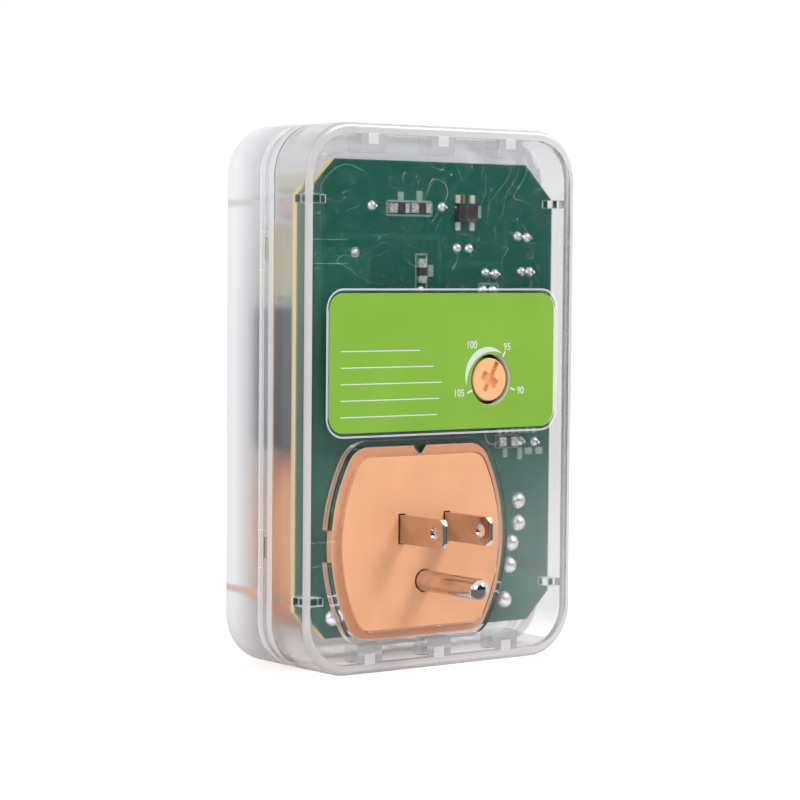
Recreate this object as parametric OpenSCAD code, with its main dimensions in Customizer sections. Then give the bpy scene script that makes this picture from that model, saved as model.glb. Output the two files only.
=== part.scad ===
// Plug-in voltage protector: a clear snap housing round a circuit board, with
// a grounded plug on the rear face and a grounded socket on the front face.
// The origin is midway between the two plug blades, on the plug's face.
// The blades point to -Y, the socket looks to +Y, and Z is up.

/* [Housing] */
// Overall width of the housing
housing_w = 76; // [74:0.5:86]
// Overall height of the housing
housing_h = 120.8; // [118:0.4:136]
// Overall depth of the housing, without the blades
housing_d = 32.6; // [32.2:0.2:40]
// Radius of the four corners, seen from the front
corner_r = 11.5; // [9:0.5:13]
// Thickness of the clear walls
wall = 2.2; // [1.9:0.1:2.5]
// Rounding of the edge round the rear face
rear_edge_r = 1.2; // [0.8:0.1:1.6]
// Rounding of the edge round the front face
front_edge_r = 3; // [2.6:0.1:4]
// Depth of the rear shell, from its face to the parting line
rear_depth = 14.4; // [12:0.2:18]
// How far the middle of the housing lies to the right of the plug
plug_offset = 5.3; // [4:0.1:7]
// Height of the blades above the bottom of the housing
plug_height = 31.6; // [30.6:0.2:36]

/* [Parting line] */
// How far the front shell is stepped in beside the parting line
band_step = 0.25; // [0.15:0.05:0.35]
// Depth of that stepped band
band_len = 2.4; // [2:0.1:3]
// Length of the tongue that the rear shell pushes into the front shell
tongue_len = 3.7; // [3.2:0.1:4.4]
// Thickness of the tongue
tongue_t = 1.15; // [0.9:0.05:1.3]
// Clearance round the tongue and the other snap pieces
snap_gap = 0.1; // [0.05:0.05:0.2]
// Length of a side catch
catch_len = 4.4; // [3:0.2:6]
// Depth of a side catch along the housing's depth
catch_w = 1.3; // [1:0.1:1.6]
// How far a side catch stands out of the tongue
catch_h = 0.7; // [0.4:0.1:0.8]
// Distance of the side catches from the top and bottom of the housing
catch_inset = 27.5; // [25:0.5:33]

/* [Ribs and loops] */
// Distance of the board ribs from the top and bottom of the housing
rib_inset = 16.6; // [15.6:0.2:18]
// Thickness of a board rib
rib_t = 1.8; // [1.4:0.1:2.2]
// Reach of a rear rib inwards from the side wall
rib_reach = 3.6; // [2.6:0.2:4.6]
// Reach of a front rib inwards from the side wall
clamp_reach = 2.5; // [1.6:0.1:2.6]
// Pitch of the three guide loops on the top and bottom walls
loop_pitch = 19.4; // [16:0.2:21]
// Overall width of a guide loop
loop_w = 6.7; // [6.2:0.1:8]
// Width of the window in a guide loop
loop_window_w = 2.8; // [2.4:0.1:3.2]
// Height of the window in a guide loop
loop_window_h = 2.3; // [2:0.1:2.5]
// Thickness of a loop's cross bar
loop_bar_t = 1.8; // [1.4:0.1:2]
// Length of a loop along the housing's depth
loop_len = 5; // [3:0.5:7]

/* [Plug] */
// Width of the plug's raised face
face_w = 44; // [42:0.5:46]
// Height of the plug's raised face
face_h = 38.3; // [37:0.5:40]
// Radius of the two bowed sides of the face
face_side_r = 36; // [32:1:44]
// Radius of the corners of the face
face_corner_r = 3.6; // [2.6:0.2:5]
// How far the middle of the face lies to the left of the blades
face_shift_x = 0.6; // [0:0.1:1.2]
// How far the middle of the face lies below the blades
face_shift_z = 3; // [2.5:0.1:3.5]
// Width of the flange outside the raised face
flange_w = 2.1; // [1.6:0.1:2.4]
// Thickness of the flange
flange_t = 2; // [1.6:0.1:2.2]
// Clearance between the raised face and its opening
face_gap = 0.25; // [0.15:0.05:0.35]
// Thickness of the collar that holds the flange
collar_t = 1.25; // [1:0.05:1.4]
// Height of the collar
collar_h = 1.8; // [1.4:0.1:2]
// Clearance between the flange and the collar
collar_gap = 0.15; // [0.1:0.05:0.25]
// Distance between the two blades, centre to centre
blade_pitch = 12.7; // [12:0.1:13.4]
// Width of a blade
blade_h = 6.35; // [6:0.05:7]
// Thickness of a blade
blade_t = 1.5; // [1.4:0.05:1.65]
// Length of a blade in front of the face
blade_len = 15.9; // [15.5:0.1:18.3]
// Diameter of the hole in a blade
blade_hole_d = 3.1; // [2.6:0.1:3.5]
// Distance of that hole from the blade's tip
blade_hole_inset = 3.2; // [3:0.1:4.5]
// Chamfer at the corners of a blade's tip
blade_chamfer = 1.3; // [1:0.1:1.6]
// Clearance round a blade in its slot
slot_gap = 0.2; // [0.1:0.05:0.3]
// Diameter of the ground pin
pin_d = 4.76; // [4.6:0.02:5]
// Length of the ground pin in front of the face
pin_len = 21.4; // [18:0.1:21.6]
// Drop of the ground pin below the line of the blades
pin_drop = 11.9; // [11.5:0.1:12.3]

/* [Label and knob] */
// Width of the recess for the label
label_w = 64.5; // [63:0.5:66]
// Height of the recess for the label
label_h = 31.4; // [30:0.2:33]
// Corner radius of the recess
label_r = 4; // [3:0.2:6]
// Depth of the recess
label_recess = 0.45; // [0.3:0.05:0.6]
// Thickness of the label
label_t = 0.3; // [0.15:0.05:0.4]
// Clearance round the label
label_gap = 0.4; // [0.2:0.1:0.8]
// Distance of the label recess from the housing's right side
label_side_gap = 5.6; // [5.2:0.1:6.4]
// Distance from the raised plug face up to the label recess
label_rise = 5.05; // [4.6:0.05:6]
// Diameter of the hole in front of the knob
knob_hole_d = 11.5; // [11:0.1:12.5]
// Distance of the knob from the right end of the label recess
knob_inset_x = 18.85; // [17:0.05:20]
// Distance of the knob from the lower edge of the label recess
knob_inset_z = 11.4; // [10:0.1:13]
// Diameter of the knob
knob_d = 9.8; // [9:0.1:10.2]
// Thickness of the knob's disc
knob_t = 2; // [1.6:0.1:2.2]
// Depth of the knob's face below the label recess
knob_sink = 0.25; // [0.15:0.05:0.6]
// Depth of the cross slot in the knob
knob_slot_depth = 0.9; // [0.6:0.1:1.1]
// Width of the long arm of the cross slot
knob_slot_w = 1.3; // [1:0.1:1.6]
// Width of the short arm of the cross slot
knob_cross_w = 2.1; // [1.6:0.1:2.4]
// Angle of the knob's pointer at rest, from +X
knob_angle = 60; // [-30:5:210]
// Diameter of the knob's stem
stem_d = 4; // [3.4:0.1:4.4]
// Radial clearance of the turning rotor
running_gap = 0.05; // [0.03:0.01:0.09]
// Radial room round the stem
stem_room = 0.35; // [0.3:0.05:0.5]

/* [Circuit board] */
// Room between the rear plate and the board
board_rise = 3.8; // [3.6:0.1:4.4]
// Thickness of the board
board_t = 1.6; // [1.2:0.1:1.8]
// Gap between the board's sides and the walls
board_side_gap = 0.6; // [0.4:0.1:0.8]
// Gap between the board and the top wall
board_top_gap = 5.5; // [5.2:0.1:6.5]
// Gap between the board and the bottom wall
board_bottom_gap = 5.7; // [5.2:0.1:6.5]
// Chamfer at the board's top corners
board_top_chamfer = 8; // [6:0.5:10]
// Chamfer at the board's bottom corners
board_bottom_chamfer = 6.3; // [5:0.5:8]

/* [Relay and tall parts] */
// Width of the relay
relay_w = 27.4; // [26:0.2:28]
// Length of the relay, up the board
relay_l = 31.8; // [30:0.2:32.4]
// Height of the relay above the board
relay_h = 19.6; // [18:0.2:19.8]
// Height of the relay's base
relay_base_h = 3; // [2:0.2:4]
// Gap between the relay and the board's left side
relay_inset = 3; // [2.6:0.1:4]
// Gap between the stacked tall parts
part_gap = 1.6; // [1.2:0.1:2]
// Width of the film capacitor
film_w = 13; // [10:0.5:14]
// Length of the film capacitor, up the board
film_l = 16.5; // [15:0.5:17]
// Height of the film capacitor
film_h = 17; // [14:0.5:19]
// Diameter of a varistor's disc
varistor_d = 11.6; // [10:0.2:12.4]
// Thickness of a varistor's disc
varistor_t = 4.6; // [4:0.2:5]
// Length of the snubber capacitor, up the board
snubber_l = 4.4; // [4:0.2:4.8]
// Height of the snubber capacitor
snubber_h = 10.5; // [9:0.5:12]

/* [Socket] */
// Depth of the contact chambers behind the socket's face
chamber_depth = 15.2; // [14:0.2:16.4]
// Gap between the socket's body and the board
socket_foot_h = 1.2; // [1:0.1:1.4]
// Width of the line slot
line_slot_h = 7.2; // [6.8:0.1:7.6]
// Width of the neutral slot
neutral_slot_h = 8.6; // [8:0.1:9]
// Thickness of both blade slots
socket_slot_t = 2.1; // [1.9:0.05:2.4]
// Width of the ground opening
ground_slot_w = 5.6; // [5.2:0.1:6]
// Thickness of the brass in the contacts
contact_t = 0.6; // [0.5:0.05:0.8]

/* [Status lights] */
// Diameter of a light's dome
led_d = 5; // [4.6:0.1:5.2]
// Pitch of the three lights
led_pitch = 11.3; // [9:0.1:13]
// Distance of the lights below the top of the board
led_drop = 8.5; // [7:0.5:10]
// Gap between a light and the front plate
led_gap = 0.7; // [0.4:0.1:0.9]

/* [Hidden] */
$fn = 48;

// Overrun of every cut, and the depth to which joined solids reach into
// each other
cut = 1;
bite = 0.4;

// Housing limits and middle
house_x0 = plug_offset - housing_w / 2;
house_x1 = plug_offset + housing_w / 2;
house_z0 = -plug_height;
house_z1 = housing_h - plug_height;
house_cz = (house_z0 + house_z1) / 2;

// Cavity inside both shells
cavity_w = housing_w - 2 * wall;
cavity_h = housing_h - 2 * wall;
cavity_r = corner_r - wall;
cavity_x0 = house_x0 + wall;
cavity_x1 = house_x1 - wall;
cavity_z0 = house_z0 + wall;
cavity_z1 = house_z1 - wall;
front_inner = housing_d - wall;
rear_inner_r = 0.5;
front_inner_r = max(front_edge_r - wall, rear_inner_r);

// Tongue of the rear shell: how far its outside lies within the housing's
tongue_inset = wall - tongue_t;
tongue_end = rear_depth + tongue_len;

// Middle of the plug's and the socket's face
face_cx = -face_shift_x;
face_cz = -face_shift_z;
face_top = face_cz + face_h / 2;
flange_rear = wall + flange_t;
collar_grow = flange_w + collar_gap + collar_t;
key_w = 4.2;
key_tip_w = 0.9;
key_gap = 0.15;
collar_break = 7;

// Plug pieces behind the flange
shoulder_t = 1;
shoulder_w = 3.5;
shoulder_over = 1.1;
blade_bevel = 0.5;
blade_bevel_len = 0.9;
tail_h = 4;
tail_t = 1.2;
tail_room = 0.2;
tail_reach = 0.7;
pin_neck_d = 4.3;
pin_neck_len = 0.5;
pin_shank_d = 5;
pin_room = 0.07;
pin_shoulder_d = 8;
pin_tail_d = 3;
post_d = 3;
post_x_share = 0.33;
post_z_share = 0.36;

// Label and knob
label_x1 = house_x1 - label_side_gap;
label_x0 = label_x1 - label_w;
label_z0 = face_top + label_rise;
knob_x = label_x1 - knob_inset_x;
knob_z = label_z0 + knob_inset_z;
knob_face = label_recess + knob_sink;
knob_rear = knob_face + knob_t;
knob_edge_r = 0.35;
knob_long_arm = knob_d / 2 - knob_edge_r;
knob_short_arm_share = 0.6;
knob_cross_arm_share = 0.5;
stem_flat_share = 0.7;

// Board
board_rear = wall + board_rise;
board_front = board_rear + board_t;
board_x0 = cavity_x0 + board_side_gap;
board_x1 = cavity_x1 - board_side_gap;
board_z0 = cavity_z0 + board_bottom_gap;
board_z1 = cavity_z1 - board_top_gap;
board_w = board_x1 - board_x0;
board_h = board_z1 - board_z0;

// Trimmer on the front side of the board
trimmer_w = 10.6;
trimmer_floor = 1.2;
trimmer_cover_t = 1.2;
rotor_d = 8;
rotor_t = 2.8;
rotor_play = 0.1;
rotor_y0 = board_front + trimmer_floor + rotor_play;
rotor_y1 = rotor_y0 + rotor_t;
trimmer_y1 = rotor_y1 + rotor_play;
trimmer_leg_w = 0.9;

// Tall parts stacked up the left side of the board
stack_x0 = board_x0 + relay_inset;
relay_z0 = face_top + label_recess * 2;
relay_z1 = relay_z0 + relay_l;
relay_corner_r = 1.8;
relay_edge_r = 0.8;
relay_lip = 0.4;
film_z0 = relay_z1 + part_gap;
film_z1 = film_z0 + film_l;
film_corner_r = 1.6;
film_edge_r = 0.7;
varistor_z0 = film_z1 + part_gap;
varistor_z1 = varistor_z0 + varistor_t;
varistor_foot = 2.2;
varistor_edge_r = 1.4;
snubber_z0 = varistor_z1 + part_gap / 2;
snubber_w = 11;
lead_d = 0.8;
lead_pitch = 5.4;

// Socket, mirrored from the plug
socket_body_front = front_inner - flange_t;
socket_body_rear = board_front + socket_foot_h;
socket_body_shrink = 1;
chamber_floor = socket_body_front - chamber_depth;
chamber_w = 6;
chamber_h = 11;
ground_chamber_w = 8.4;
ground_chamber_h = 7.6;
foot_d = 4;
foot_x_share = 0.3;
foot_z_share = 0.38;
contact_h = 7;
contact_waist = 1.2;
contact_mouth = 3.6;
contact_foot_w = 4.6;
contact_clear = 0.5;
waist_share = 0.78;
ground_waist = 4.5;
ground_mouth = 6.4;
ground_foot_w = 6.8;
ground_contact_h = 5.6;
contact_tail_w = 1.8;
contact_tail_z = 3.2;

// Status lights
led_len = 8.6;
led_rim_share = 1.16;
led_rim_d = led_d * led_rim_share;
led_rim_t = 1;
led_y1 = front_inner - led_gap;
led_y0 = led_y1 - led_len;
led_z = board_z1 - led_drop;
spacer_d = 5;
spacer_bore_d = 3;

// Small parts of the board's front side, placed as shares of its width and
// height from the lower left corner
filter_share = [0.86, 0.815];
timing_share = [0.765, 0.665];
diode_x_share = 0.88;
diode_z_shares = [0.455, 0.5, 0.545, 0.59];
output_share = [0.87, 0.245];
filter_d = 10;
filter_h = 16;
timing_d = 6.3;
timing_h = 11;
can_groove = 0.4;
can_edge_r = 0.6;
chip_body_w = 6.4;
chip_body_l = 19;
chip_body_h = 3.3;
chip_standoff = 0.6;
chip_leg_pitch = 2.54;
chip_leg_w = 0.6;
chip_leg_t = 0.3;
chip_row_w = 7.6;
chip_legs = 7;
transistor_w = 4.6;
transistor_h = 4.8;
transistor_rise = 3;
axial_d = 2.7;
axial_l = 5.4;
axial_pitch = 10;
axial_lead_d = 0.7;
resistor_shift = 3.7;
chip_row_gap = 0.3;
dropper_d = 4.2;
dropper_l = 11;

// Small parts placed beside their neighbours: the transistor and the dropper
// beside the film capacitor, the resistors below and above the trimmer, and
// the control chip above them
row_gap = 0.7;
transistor_x = stack_x0 + film_w + part_gap + transistor_w / 2;
dropper_x = transistor_x + transistor_w / 2 + part_gap + dropper_d / 2;
tall_row_z = film_z0 + film_l / 2;
resistor_x = knob_x - resistor_shift;
resistor_top_z = knob_z + trimmer_w / 2 + snap_gap + trimmer_leg_w + row_gap + axial_d / 2;
resistor_places = [
    knob_z - trimmer_w / 2 - part_gap - axial_d / 2,
    resistor_top_z, resistor_top_z + axial_d + row_gap
];
chip_z = resistor_top_z + 1.5 * axial_d + 2 * row_gap + chip_row_gap + chip_body_l / 2;

// Small parts of the board's rear side, as shares of its width and height
solder_r = 1.15;
solder_rise = 0.85;
solder_shares = [
    [0.259, 0.904], [0.537, 0.904], [0.601, 0.817], [0.65, 0.816], [0.854, 0.844],
    [0.893, 0.842], [0.871, 0.767], [0.906, 0.767], [0.72, 0.764], [0.759, 0.762],
    [0.711, 0.727], [0.751, 0.727], [0.873, 0.396], [0.934, 0.393]
];
small_solder_r = 0.8;
small_solder_shares = [[0.455, 0.729], [0.195, 0.806]];
big_solder_r = 2;
big_solder_shares = [
    [0.868, 0.264], [0.869, 0.215], [0.841, 0.172], [0.834, 0.123], [0.814, 0.048],
    [0.119, 0.043]
];
smd_w = 2.05;
smd_l = 5.4;
smd_t = 0.9;
upright_smd_shares = [[0.455, 0.768]];
level_smd_shares = [[0.36, 0.9], [0.446, 0.901], [0.816, 0.396]];
regulator_share = [0.631, 0.893];
regulator_w = 5.5;
regulator_h = 4.2;
regulator_t = 1.5;
regulator_leg_w = 1.3;
regulator_leg_l = 1.9;
regulator_leg_t = 0.3;

// Middle of the housing's outline
module at_housing() {
    translate([plug_offset, 0, house_cz]) children();
}

// A cylinder along +Y from y0 to y1
module rod(d, y0, y1) {
    translate([0, y0, 0]) rotate([-90, 0, 0]) cylinder(d = d, h = y1 - y0);
}

// A box given by its two corners
module span(lo, hi) {
    translate(lo) cube(hi - lo);
}

// Half of a wall's section: radius outwards, depth upwards, with rounded
// edges of radius e0 at y0 and e1 at y1
module edge_profile(r, y0, y1, e0, e1) {
    translate([0, y0 + e0]) square([r, y1 - y0 - e0 - e1]);
    if (e0 > 0) {
        translate([0, y0]) square([r - e0, e0]);
        translate([r - e0, y0 + e0]) circle(e0);
    }
    if (e1 > 0) {
        translate([0, y1 - e1]) square([r - e1, e1]);
        translate([r - e1, y1 - e1]) circle(e1);
    }
}

// The same section across a whole width
module bar_profile(w, y0, y1, e0, e1) {
    for (s = [0, 1])
        mirror([s, 0])
            edge_profile(w / 2, y0, y1, e0, e1);
}

// A block with rounded corners of radius r in its outline and rounded edges
// round its two faces, centred on the Y axis
module rounded_block(w, h, r, y0, y1, e0, e1) {
    translate([0, 0, r - h / 2])
        linear_extrude(h - 2 * r)
            bar_profile(w, y0, y1, e0, e1);
    translate([r - w / 2, 0, 0])
        rotate([0, 90, 0])
            linear_extrude(w - 2 * r)
                bar_profile(h, y0, y1, e0, e1);
    for (sx = [-1, 1], sz = [-1, 1])
        translate([sx * (w / 2 - r), 0, sz * (h / 2 - r)])
            rotate([-90, 0, 0])
                rotate_extrude()
                    edge_profile(r, y0, y1, e0, e1);
}

// The outline shared by the plug and the socket: flat top and bottom, two
// bowed sides and rounded corners, grown outwards by g
module face_outline(g) {
    w = face_w + 2 * g;
    h = face_h + 2 * g;
    side_r = face_side_r + g;
    r = face_corner_r + g;
    side_x = side_r - w / 2;
    rise = h / 2 - r;
    corner_x = sqrt(pow(side_r - r, 2) - pow(rise, 2)) - side_x;
    tangent_z = rise * side_r / (side_r - r);
    translate([face_cx, -face_cz]) {
        square([2 * corner_x, h], center = true);
        for (sx = [-1, 1], sz = [-1, 1])
            translate([sx * corner_x, sz * rise]) circle(r);
        intersection() {
            square([w, 2 * tangent_z], center = true);
            translate([side_x, 0]) circle(side_r, $fn = 160);
            translate([-side_x, 0]) circle(side_r, $fn = 160);
        }
    }
}

// That outline as a prism between two depths
module face_prism(g, y0, y1) {
    translate([0, y0, 0])
        rotate([-90, 0, 0])
            linear_extrude(y1 - y0)
                face_outline(g);
}

// Collar round a flange, with a break in its left side and a key at its top
module flange_collar(y0, y1) {
    difference() {
        face_prism(collar_grow, y0, y1);
        face_prism(flange_w + collar_gap, y0 - cut, y1 + cut);
        span([face_cx - face_w, y0 - cut, face_cz - collar_break / 2],
             [face_cx, y1 + cut, face_cz + collar_break / 2]);
    }
    flange_key(0, y0, y1);
}

// Wedge that stops the flange from turning, grown by g for its notch
module flange_key(g, y0, y1) {
    top = face_h / 2 + flange_w + collar_gap + bite;
    tip = face_h / 2 + flange_w / 5 - g;
    translate([face_cx, y0, face_cz])
        rotate([90, 0, 0])
            translate([0, 0, y0 - y1])
                linear_extrude(y1 - y0)
                    polygon([
                        [-key_tip_w / 2 - g, tip], [key_tip_w / 2 + g, tip],
                        [key_w / 2 + g, top], [-key_w / 2 - g, top]
                    ]);
}

// Both side walls, as mirror images about the housing's middle
module both_sides() {
    for (s = [0, 1])
        translate([plug_offset, 0, 0])
            mirror([s, 0, 0])
                translate([-plug_offset, 0, 0])
                    children();
}

// Top and bottom, as mirror images about the housing's middle
module both_ends() {
    for (s = [0, 1])
        translate([0, 0, house_cz])
            mirror([0, 0, s])
                translate([0, 0, -house_cz])
                    children();
}

// Rounded rectangle of the label, between two depths, set in by g
module label_block(g, y0, y1) {
    translate([label_x0 + label_w / 2, 0, label_z0 + label_h / 2])
        rounded_block(label_w - 2 * g, label_h - 2 * g, label_r - g, y0, y1, 0, 0);
}

// A guide loop on the top wall: two legs and a cross bar
module guide_loop() {
    loop_z = cavity_z1 - loop_window_h - loop_bar_t;
    difference() {
        span([-loop_w / 2, wall - bite, loop_z], [loop_w / 2, wall + loop_len, cavity_z1 + bite]);
        span([-loop_window_w / 2, wall, cavity_z1 - loop_window_h],
             [loop_window_w / 2, wall + loop_len + cut, cavity_z1]);
    }
}

// The finger of the front shell that slides into a guide loop
module guide_finger() {
    room = 2 * snap_gap;
    z1 = cavity_z1 - room;
    z0 = cavity_z1 - loop_window_h + room;
    w = loop_window_w - 2 * room;
    span([-w / 2, wall + room, z0], [w / 2, front_inner + bite, z1]);
    span([-w / 2, tongue_end + room, z0], [w / 2, front_inner + bite, cavity_z1 + bite]);
}

// Side catch on the left of the tongue, grown by g for its window
module side_catch(g, h) {
    y0 = rear_depth + (band_len - catch_w) / 2;
    x0 = house_x0 + tongue_inset;
    span([x0 - h, y0 - g, house_z1 - catch_inset - catch_len / 2 - g],
         [x0 + bite, y0 + catch_w + g, house_z1 - catch_inset + catch_len / 2 + g]);
}

module rear_shell() {
    tongue_w = housing_w - 2 * tongue_inset;
    tongue_h = housing_h - 2 * tongue_inset;
    color("whitesmoke") {
        difference() {
            union() {
                at_housing()
                    rounded_block(housing_w, housing_h, corner_r, 0, rear_depth, rear_edge_r, 0);
                at_housing()
                    rounded_block(tongue_w, tongue_h, corner_r - tongue_inset,
                                  rear_depth - bite, tongue_end, 0, 0);
            }
            at_housing()
                rounded_block(cavity_w, cavity_h, cavity_r, wall, tongue_end + cut, rear_inner_r, 0);
            face_prism(face_gap, -cut, wall + cut);
            label_block(0, -cut, label_recess);
            translate([knob_x, 0, knob_z]) rod(knob_hole_d, -cut, wall + cut);
        }
        flange_collar(wall - bite, wall + collar_h);
        both_ends() {
            both_sides()
                span([cavity_x0 - bite, wall - bite, house_z1 - rib_inset - rib_t / 2],
                     [cavity_x0 + rib_reach, board_rear, house_z1 - rib_inset + rib_t / 2]);
            for (i = [-1, 0, 1])
                translate([plug_offset + i * loop_pitch, 0, 0]) guide_loop();
            both_sides() side_catch(0, catch_h);
        }
    }
}

module front_shell() {
    band_w = housing_w - 2 * band_step;
    band_h = housing_h - 2 * band_step;
    groove_inset = tongue_inset - snap_gap;
    rib_z = house_z1 - rib_inset;
    color("gainsboro") {
        difference() {
            union() {
                at_housing()
                    rounded_block(band_w, band_h, corner_r - band_step,
                                  rear_depth, rear_depth + band_len + bite, 0, 0);
                at_housing()
                    rounded_block(housing_w, housing_h, corner_r,
                                  rear_depth + band_len, housing_d, 0, front_edge_r);
            }
            at_housing()
                rounded_block(cavity_w, cavity_h, cavity_r, rear_depth - cut, front_inner,
                              0, front_inner_r);
            at_housing()
                rounded_block(housing_w - 2 * groove_inset, housing_h - 2 * groove_inset,
                              corner_r - groove_inset, rear_depth - cut, tongue_end + snap_gap, 0, 0);
            face_prism(face_gap, front_inner - cut, housing_d + cut);
            both_ends() both_sides() side_catch(2 * snap_gap, wall);
        }
        flange_collar(front_inner - collar_h, front_inner + bite);
        both_ends() {
            both_sides() {
                span([cavity_x0 + snap_gap, board_front, rib_z - rib_t / 2],
                     [cavity_x0 + clamp_reach, front_inner + bite, rib_z + rib_t / 2]);
                span([cavity_x0 - bite, tongue_end + 2 * snap_gap, rib_z - rib_t / 2],
                     [cavity_x0 + clamp_reach, front_inner + bite, rib_z + rib_t / 2]);
            }
            for (i = [-1, 0, 1])
                translate([plug_offset + i * loop_pitch, 0, 0]) guide_finger();
        }
    }
}

module label_plate() {
    color("yellowgreen")
        difference() {
            label_block(label_gap, label_recess - label_t, label_recess);
            translate([knob_x, 0, knob_z]) rod(knob_hole_d + label_gap / 2, -cut, wall);
        }
}

// Blade slot of the plug, on the side s
module blade_slot(s) {
    w = blade_t + 2 * slot_gap;
    h = blade_h + 2 * slot_gap;
    span([s * blade_pitch / 2 - w / 2, -cut, -h / 2],
         [s * blade_pitch / 2 + w / 2, flange_rear + cut, h / 2]);
}

module plug_base() {
    color("sandybrown")
        difference() {
            union() {
                face_prism(0, 0, wall + bite);
                face_prism(flange_w, wall, flange_rear);
                for (sx = [-1, 1], sz = [-1, 1])
                    translate([face_cx + sx * face_w * post_x_share, 0,
                               face_cz + sz * face_h * post_z_share])
                        rod(post_d, flange_rear - bite, board_rear);
            }
            flange_key(key_gap, wall - bite, flange_rear + cut);
            for (s = [-1, 1]) blade_slot(s);
            translate([0, 0, -pin_drop]) rod(pin_shank_d + 2 * pin_room, -cut, flange_rear + cut);
        }
}

// Tail of a blade, or its slot in the board where g is above zero
module blade_tail(s, g, y0, y1) {
    span([s * blade_pitch / 2 - tail_t / 2 - g, y0, -tail_h / 2 - g],
         [s * blade_pitch / 2 + tail_t / 2 + g, y1, tail_h / 2 + g]);
}

// One blade with its shoulder behind the flange and its tail through the board
module blade(s) {
    tip = -blade_len;
    half = blade_h / 2;
    translate([s * blade_pitch / 2, 0, 0]) {
        difference() {
            intersection() {
                rotate([90, 0, 90])
                    translate([0, 0, -blade_t / 2])
                        linear_extrude(blade_t)
                            polygon([
                                [tip, blade_chamfer - half], [tip + blade_chamfer, -half],
                                [flange_rear, -half], [flange_rear, half],
                                [tip + blade_chamfer, half], [tip, half - blade_chamfer]
                            ]);
                translate([0, 0, -half])
                    linear_extrude(blade_h)
                        polygon([
                            [blade_bevel - blade_t / 2, tip], [blade_t / 2 - blade_bevel, tip],
                            [blade_t / 2, tip + blade_bevel_len], [blade_t / 2, flange_rear],
                            [-blade_t / 2, flange_rear], [-blade_t / 2, tip + blade_bevel_len]
                        ]);
            }
            translate([0, tip + blade_hole_inset, 0])
                rotate([0, 90, 0])
                    cylinder(d = blade_hole_d, h = blade_t + 2 * cut, center = true);
        }
        span([-shoulder_w / 2, flange_rear, -half - shoulder_over],
             [shoulder_w / 2, flange_rear + shoulder_t, half + shoulder_over]);
    }
    blade_tail(s, 0, flange_rear, board_front + tail_reach);
}

module line_blade() {
    color("lightgray") blade(-1);
}

module neutral_blade() {
    color("lightgray") blade(1);
}

module ground_pin() {
    color("lightgray")
        translate([0, 0, -pin_drop]) {
            translate([0, pin_d / 2 - pin_len, 0]) sphere(d = pin_d);
            rod(pin_d, pin_d / 2 - pin_len, 0);
            rod(pin_neck_d, -bite, pin_neck_len + bite);
            rod(pin_shank_d, pin_neck_len, flange_rear);
            rod(pin_shoulder_d, flange_rear, flange_rear + shoulder_t);
            rod(pin_tail_d, flange_rear, chamber_floor);
        }
}

// Board outline with its four chamfered corners
module board_outline() {
    polygon([
        [board_x0 + board_bottom_chamfer, board_z0], [board_x1 - board_bottom_chamfer, board_z0],
        [board_x1, board_z0 + board_bottom_chamfer], [board_x1, board_z1 - board_top_chamfer],
        [board_x1 - board_top_chamfer, board_z1], [board_x0 + board_top_chamfer, board_z1],
        [board_x0, board_z1 - board_top_chamfer], [board_x0, board_z0 + board_bottom_chamfer]
    ]);
}

// Places its children at a share of the board's width and height
module on_board(share) {
    translate([board_x0 + share[0] * board_w, 0, board_z0 + share[1] * board_h]) children();
}

// Tail of a socket contact, or its slot where g is above zero
module contact_tail(s, g, y0, y1) {
    span([s * blade_pitch / 2 - contact_t / 2 - g, y0, contact_tail_z - g],
         [s * blade_pitch / 2 + contact_t / 2 + g, y1, contact_tail_z + contact_tail_w + g]);
}

module circuit_board() {
    color("seagreen")
        difference() {
            translate([0, board_front, 0])
                rotate([90, 0, 0])
                    linear_extrude(board_t)
                        board_outline();
            for (s = [-1, 1]) {
                blade_tail(s, tail_room, board_rear - cut, board_front + cut);
                contact_tail(s, tail_room, board_rear - cut, board_front + cut);
            }
            translate([0, 0, -pin_drop])
                rod(pin_tail_d + 2 * tail_room, board_rear - cut, board_front + cut);
            translate([knob_x, 0, knob_z])
                rod(stem_d + 2 * stem_room, board_rear - cut, board_front + cut);
        }
}

// Section of a turned disc with a rounded front edge
module knob_disc() {
    translate([0, knob_face, 0])
        rotate([-90, 0, 0])
            rotate_extrude()
                edge_profile(knob_d / 2, 0, knob_t, knob_edge_r, 0);
}

module adjuster_knob() {
    arm = knob_d / 2;
    color("sandybrown")
        translate([knob_x, 0, knob_z])
            rotate([0, -knob_angle, 0]) {
                difference() {
                    knob_disc();
                    span([-arm * knob_short_arm_share, knob_face - cut, -knob_slot_w / 2],
                         [knob_long_arm, knob_face + knob_slot_depth, knob_slot_w / 2]);
                    span([-knob_cross_w / 2, knob_face - cut, -arm * knob_cross_arm_share],
                         [knob_cross_w / 2, knob_face + knob_slot_depth, arm * knob_cross_arm_share]);
                }
                rod(stem_d, knob_rear - bite, rotor_y0);
                difference() {
                    rod(stem_d, rotor_y0 - bite, rotor_y1);
                    span([stem_d / 2 * stem_flat_share, rotor_y0, -stem_d],
                         [stem_d, rotor_y1 + cut, stem_d]);
                }
            }
}

module trimmer_base() {
    half = trimmer_w / 2;
    color("dimgray")
        translate([knob_x, 0, knob_z])
            difference() {
                span([-half, board_front, -half], [half, trimmer_y1, half]);
                rod(stem_d + 2 * stem_room, board_front - cut, trimmer_y1);
                rod(rotor_d + 2 * running_gap, board_front + trimmer_floor, trimmer_y1 + cut);
            }
}

module trimmer_rotor() {
    color("ivory")
        translate([knob_x, 0, knob_z])
            rotate([0, -knob_angle, 0])
                difference() {
                    rod(rotor_d, rotor_y0, rotor_y1);
                    difference() {
                        rod(stem_d + 2 * running_gap, rotor_y0 - cut, rotor_y1 + cut);
                        span([stem_d / 2 * stem_flat_share + running_gap, rotor_y0 - 2 * cut, -stem_d],
                             [stem_d, rotor_y1 + 2 * cut, stem_d]);
                    }
                }
}

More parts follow.
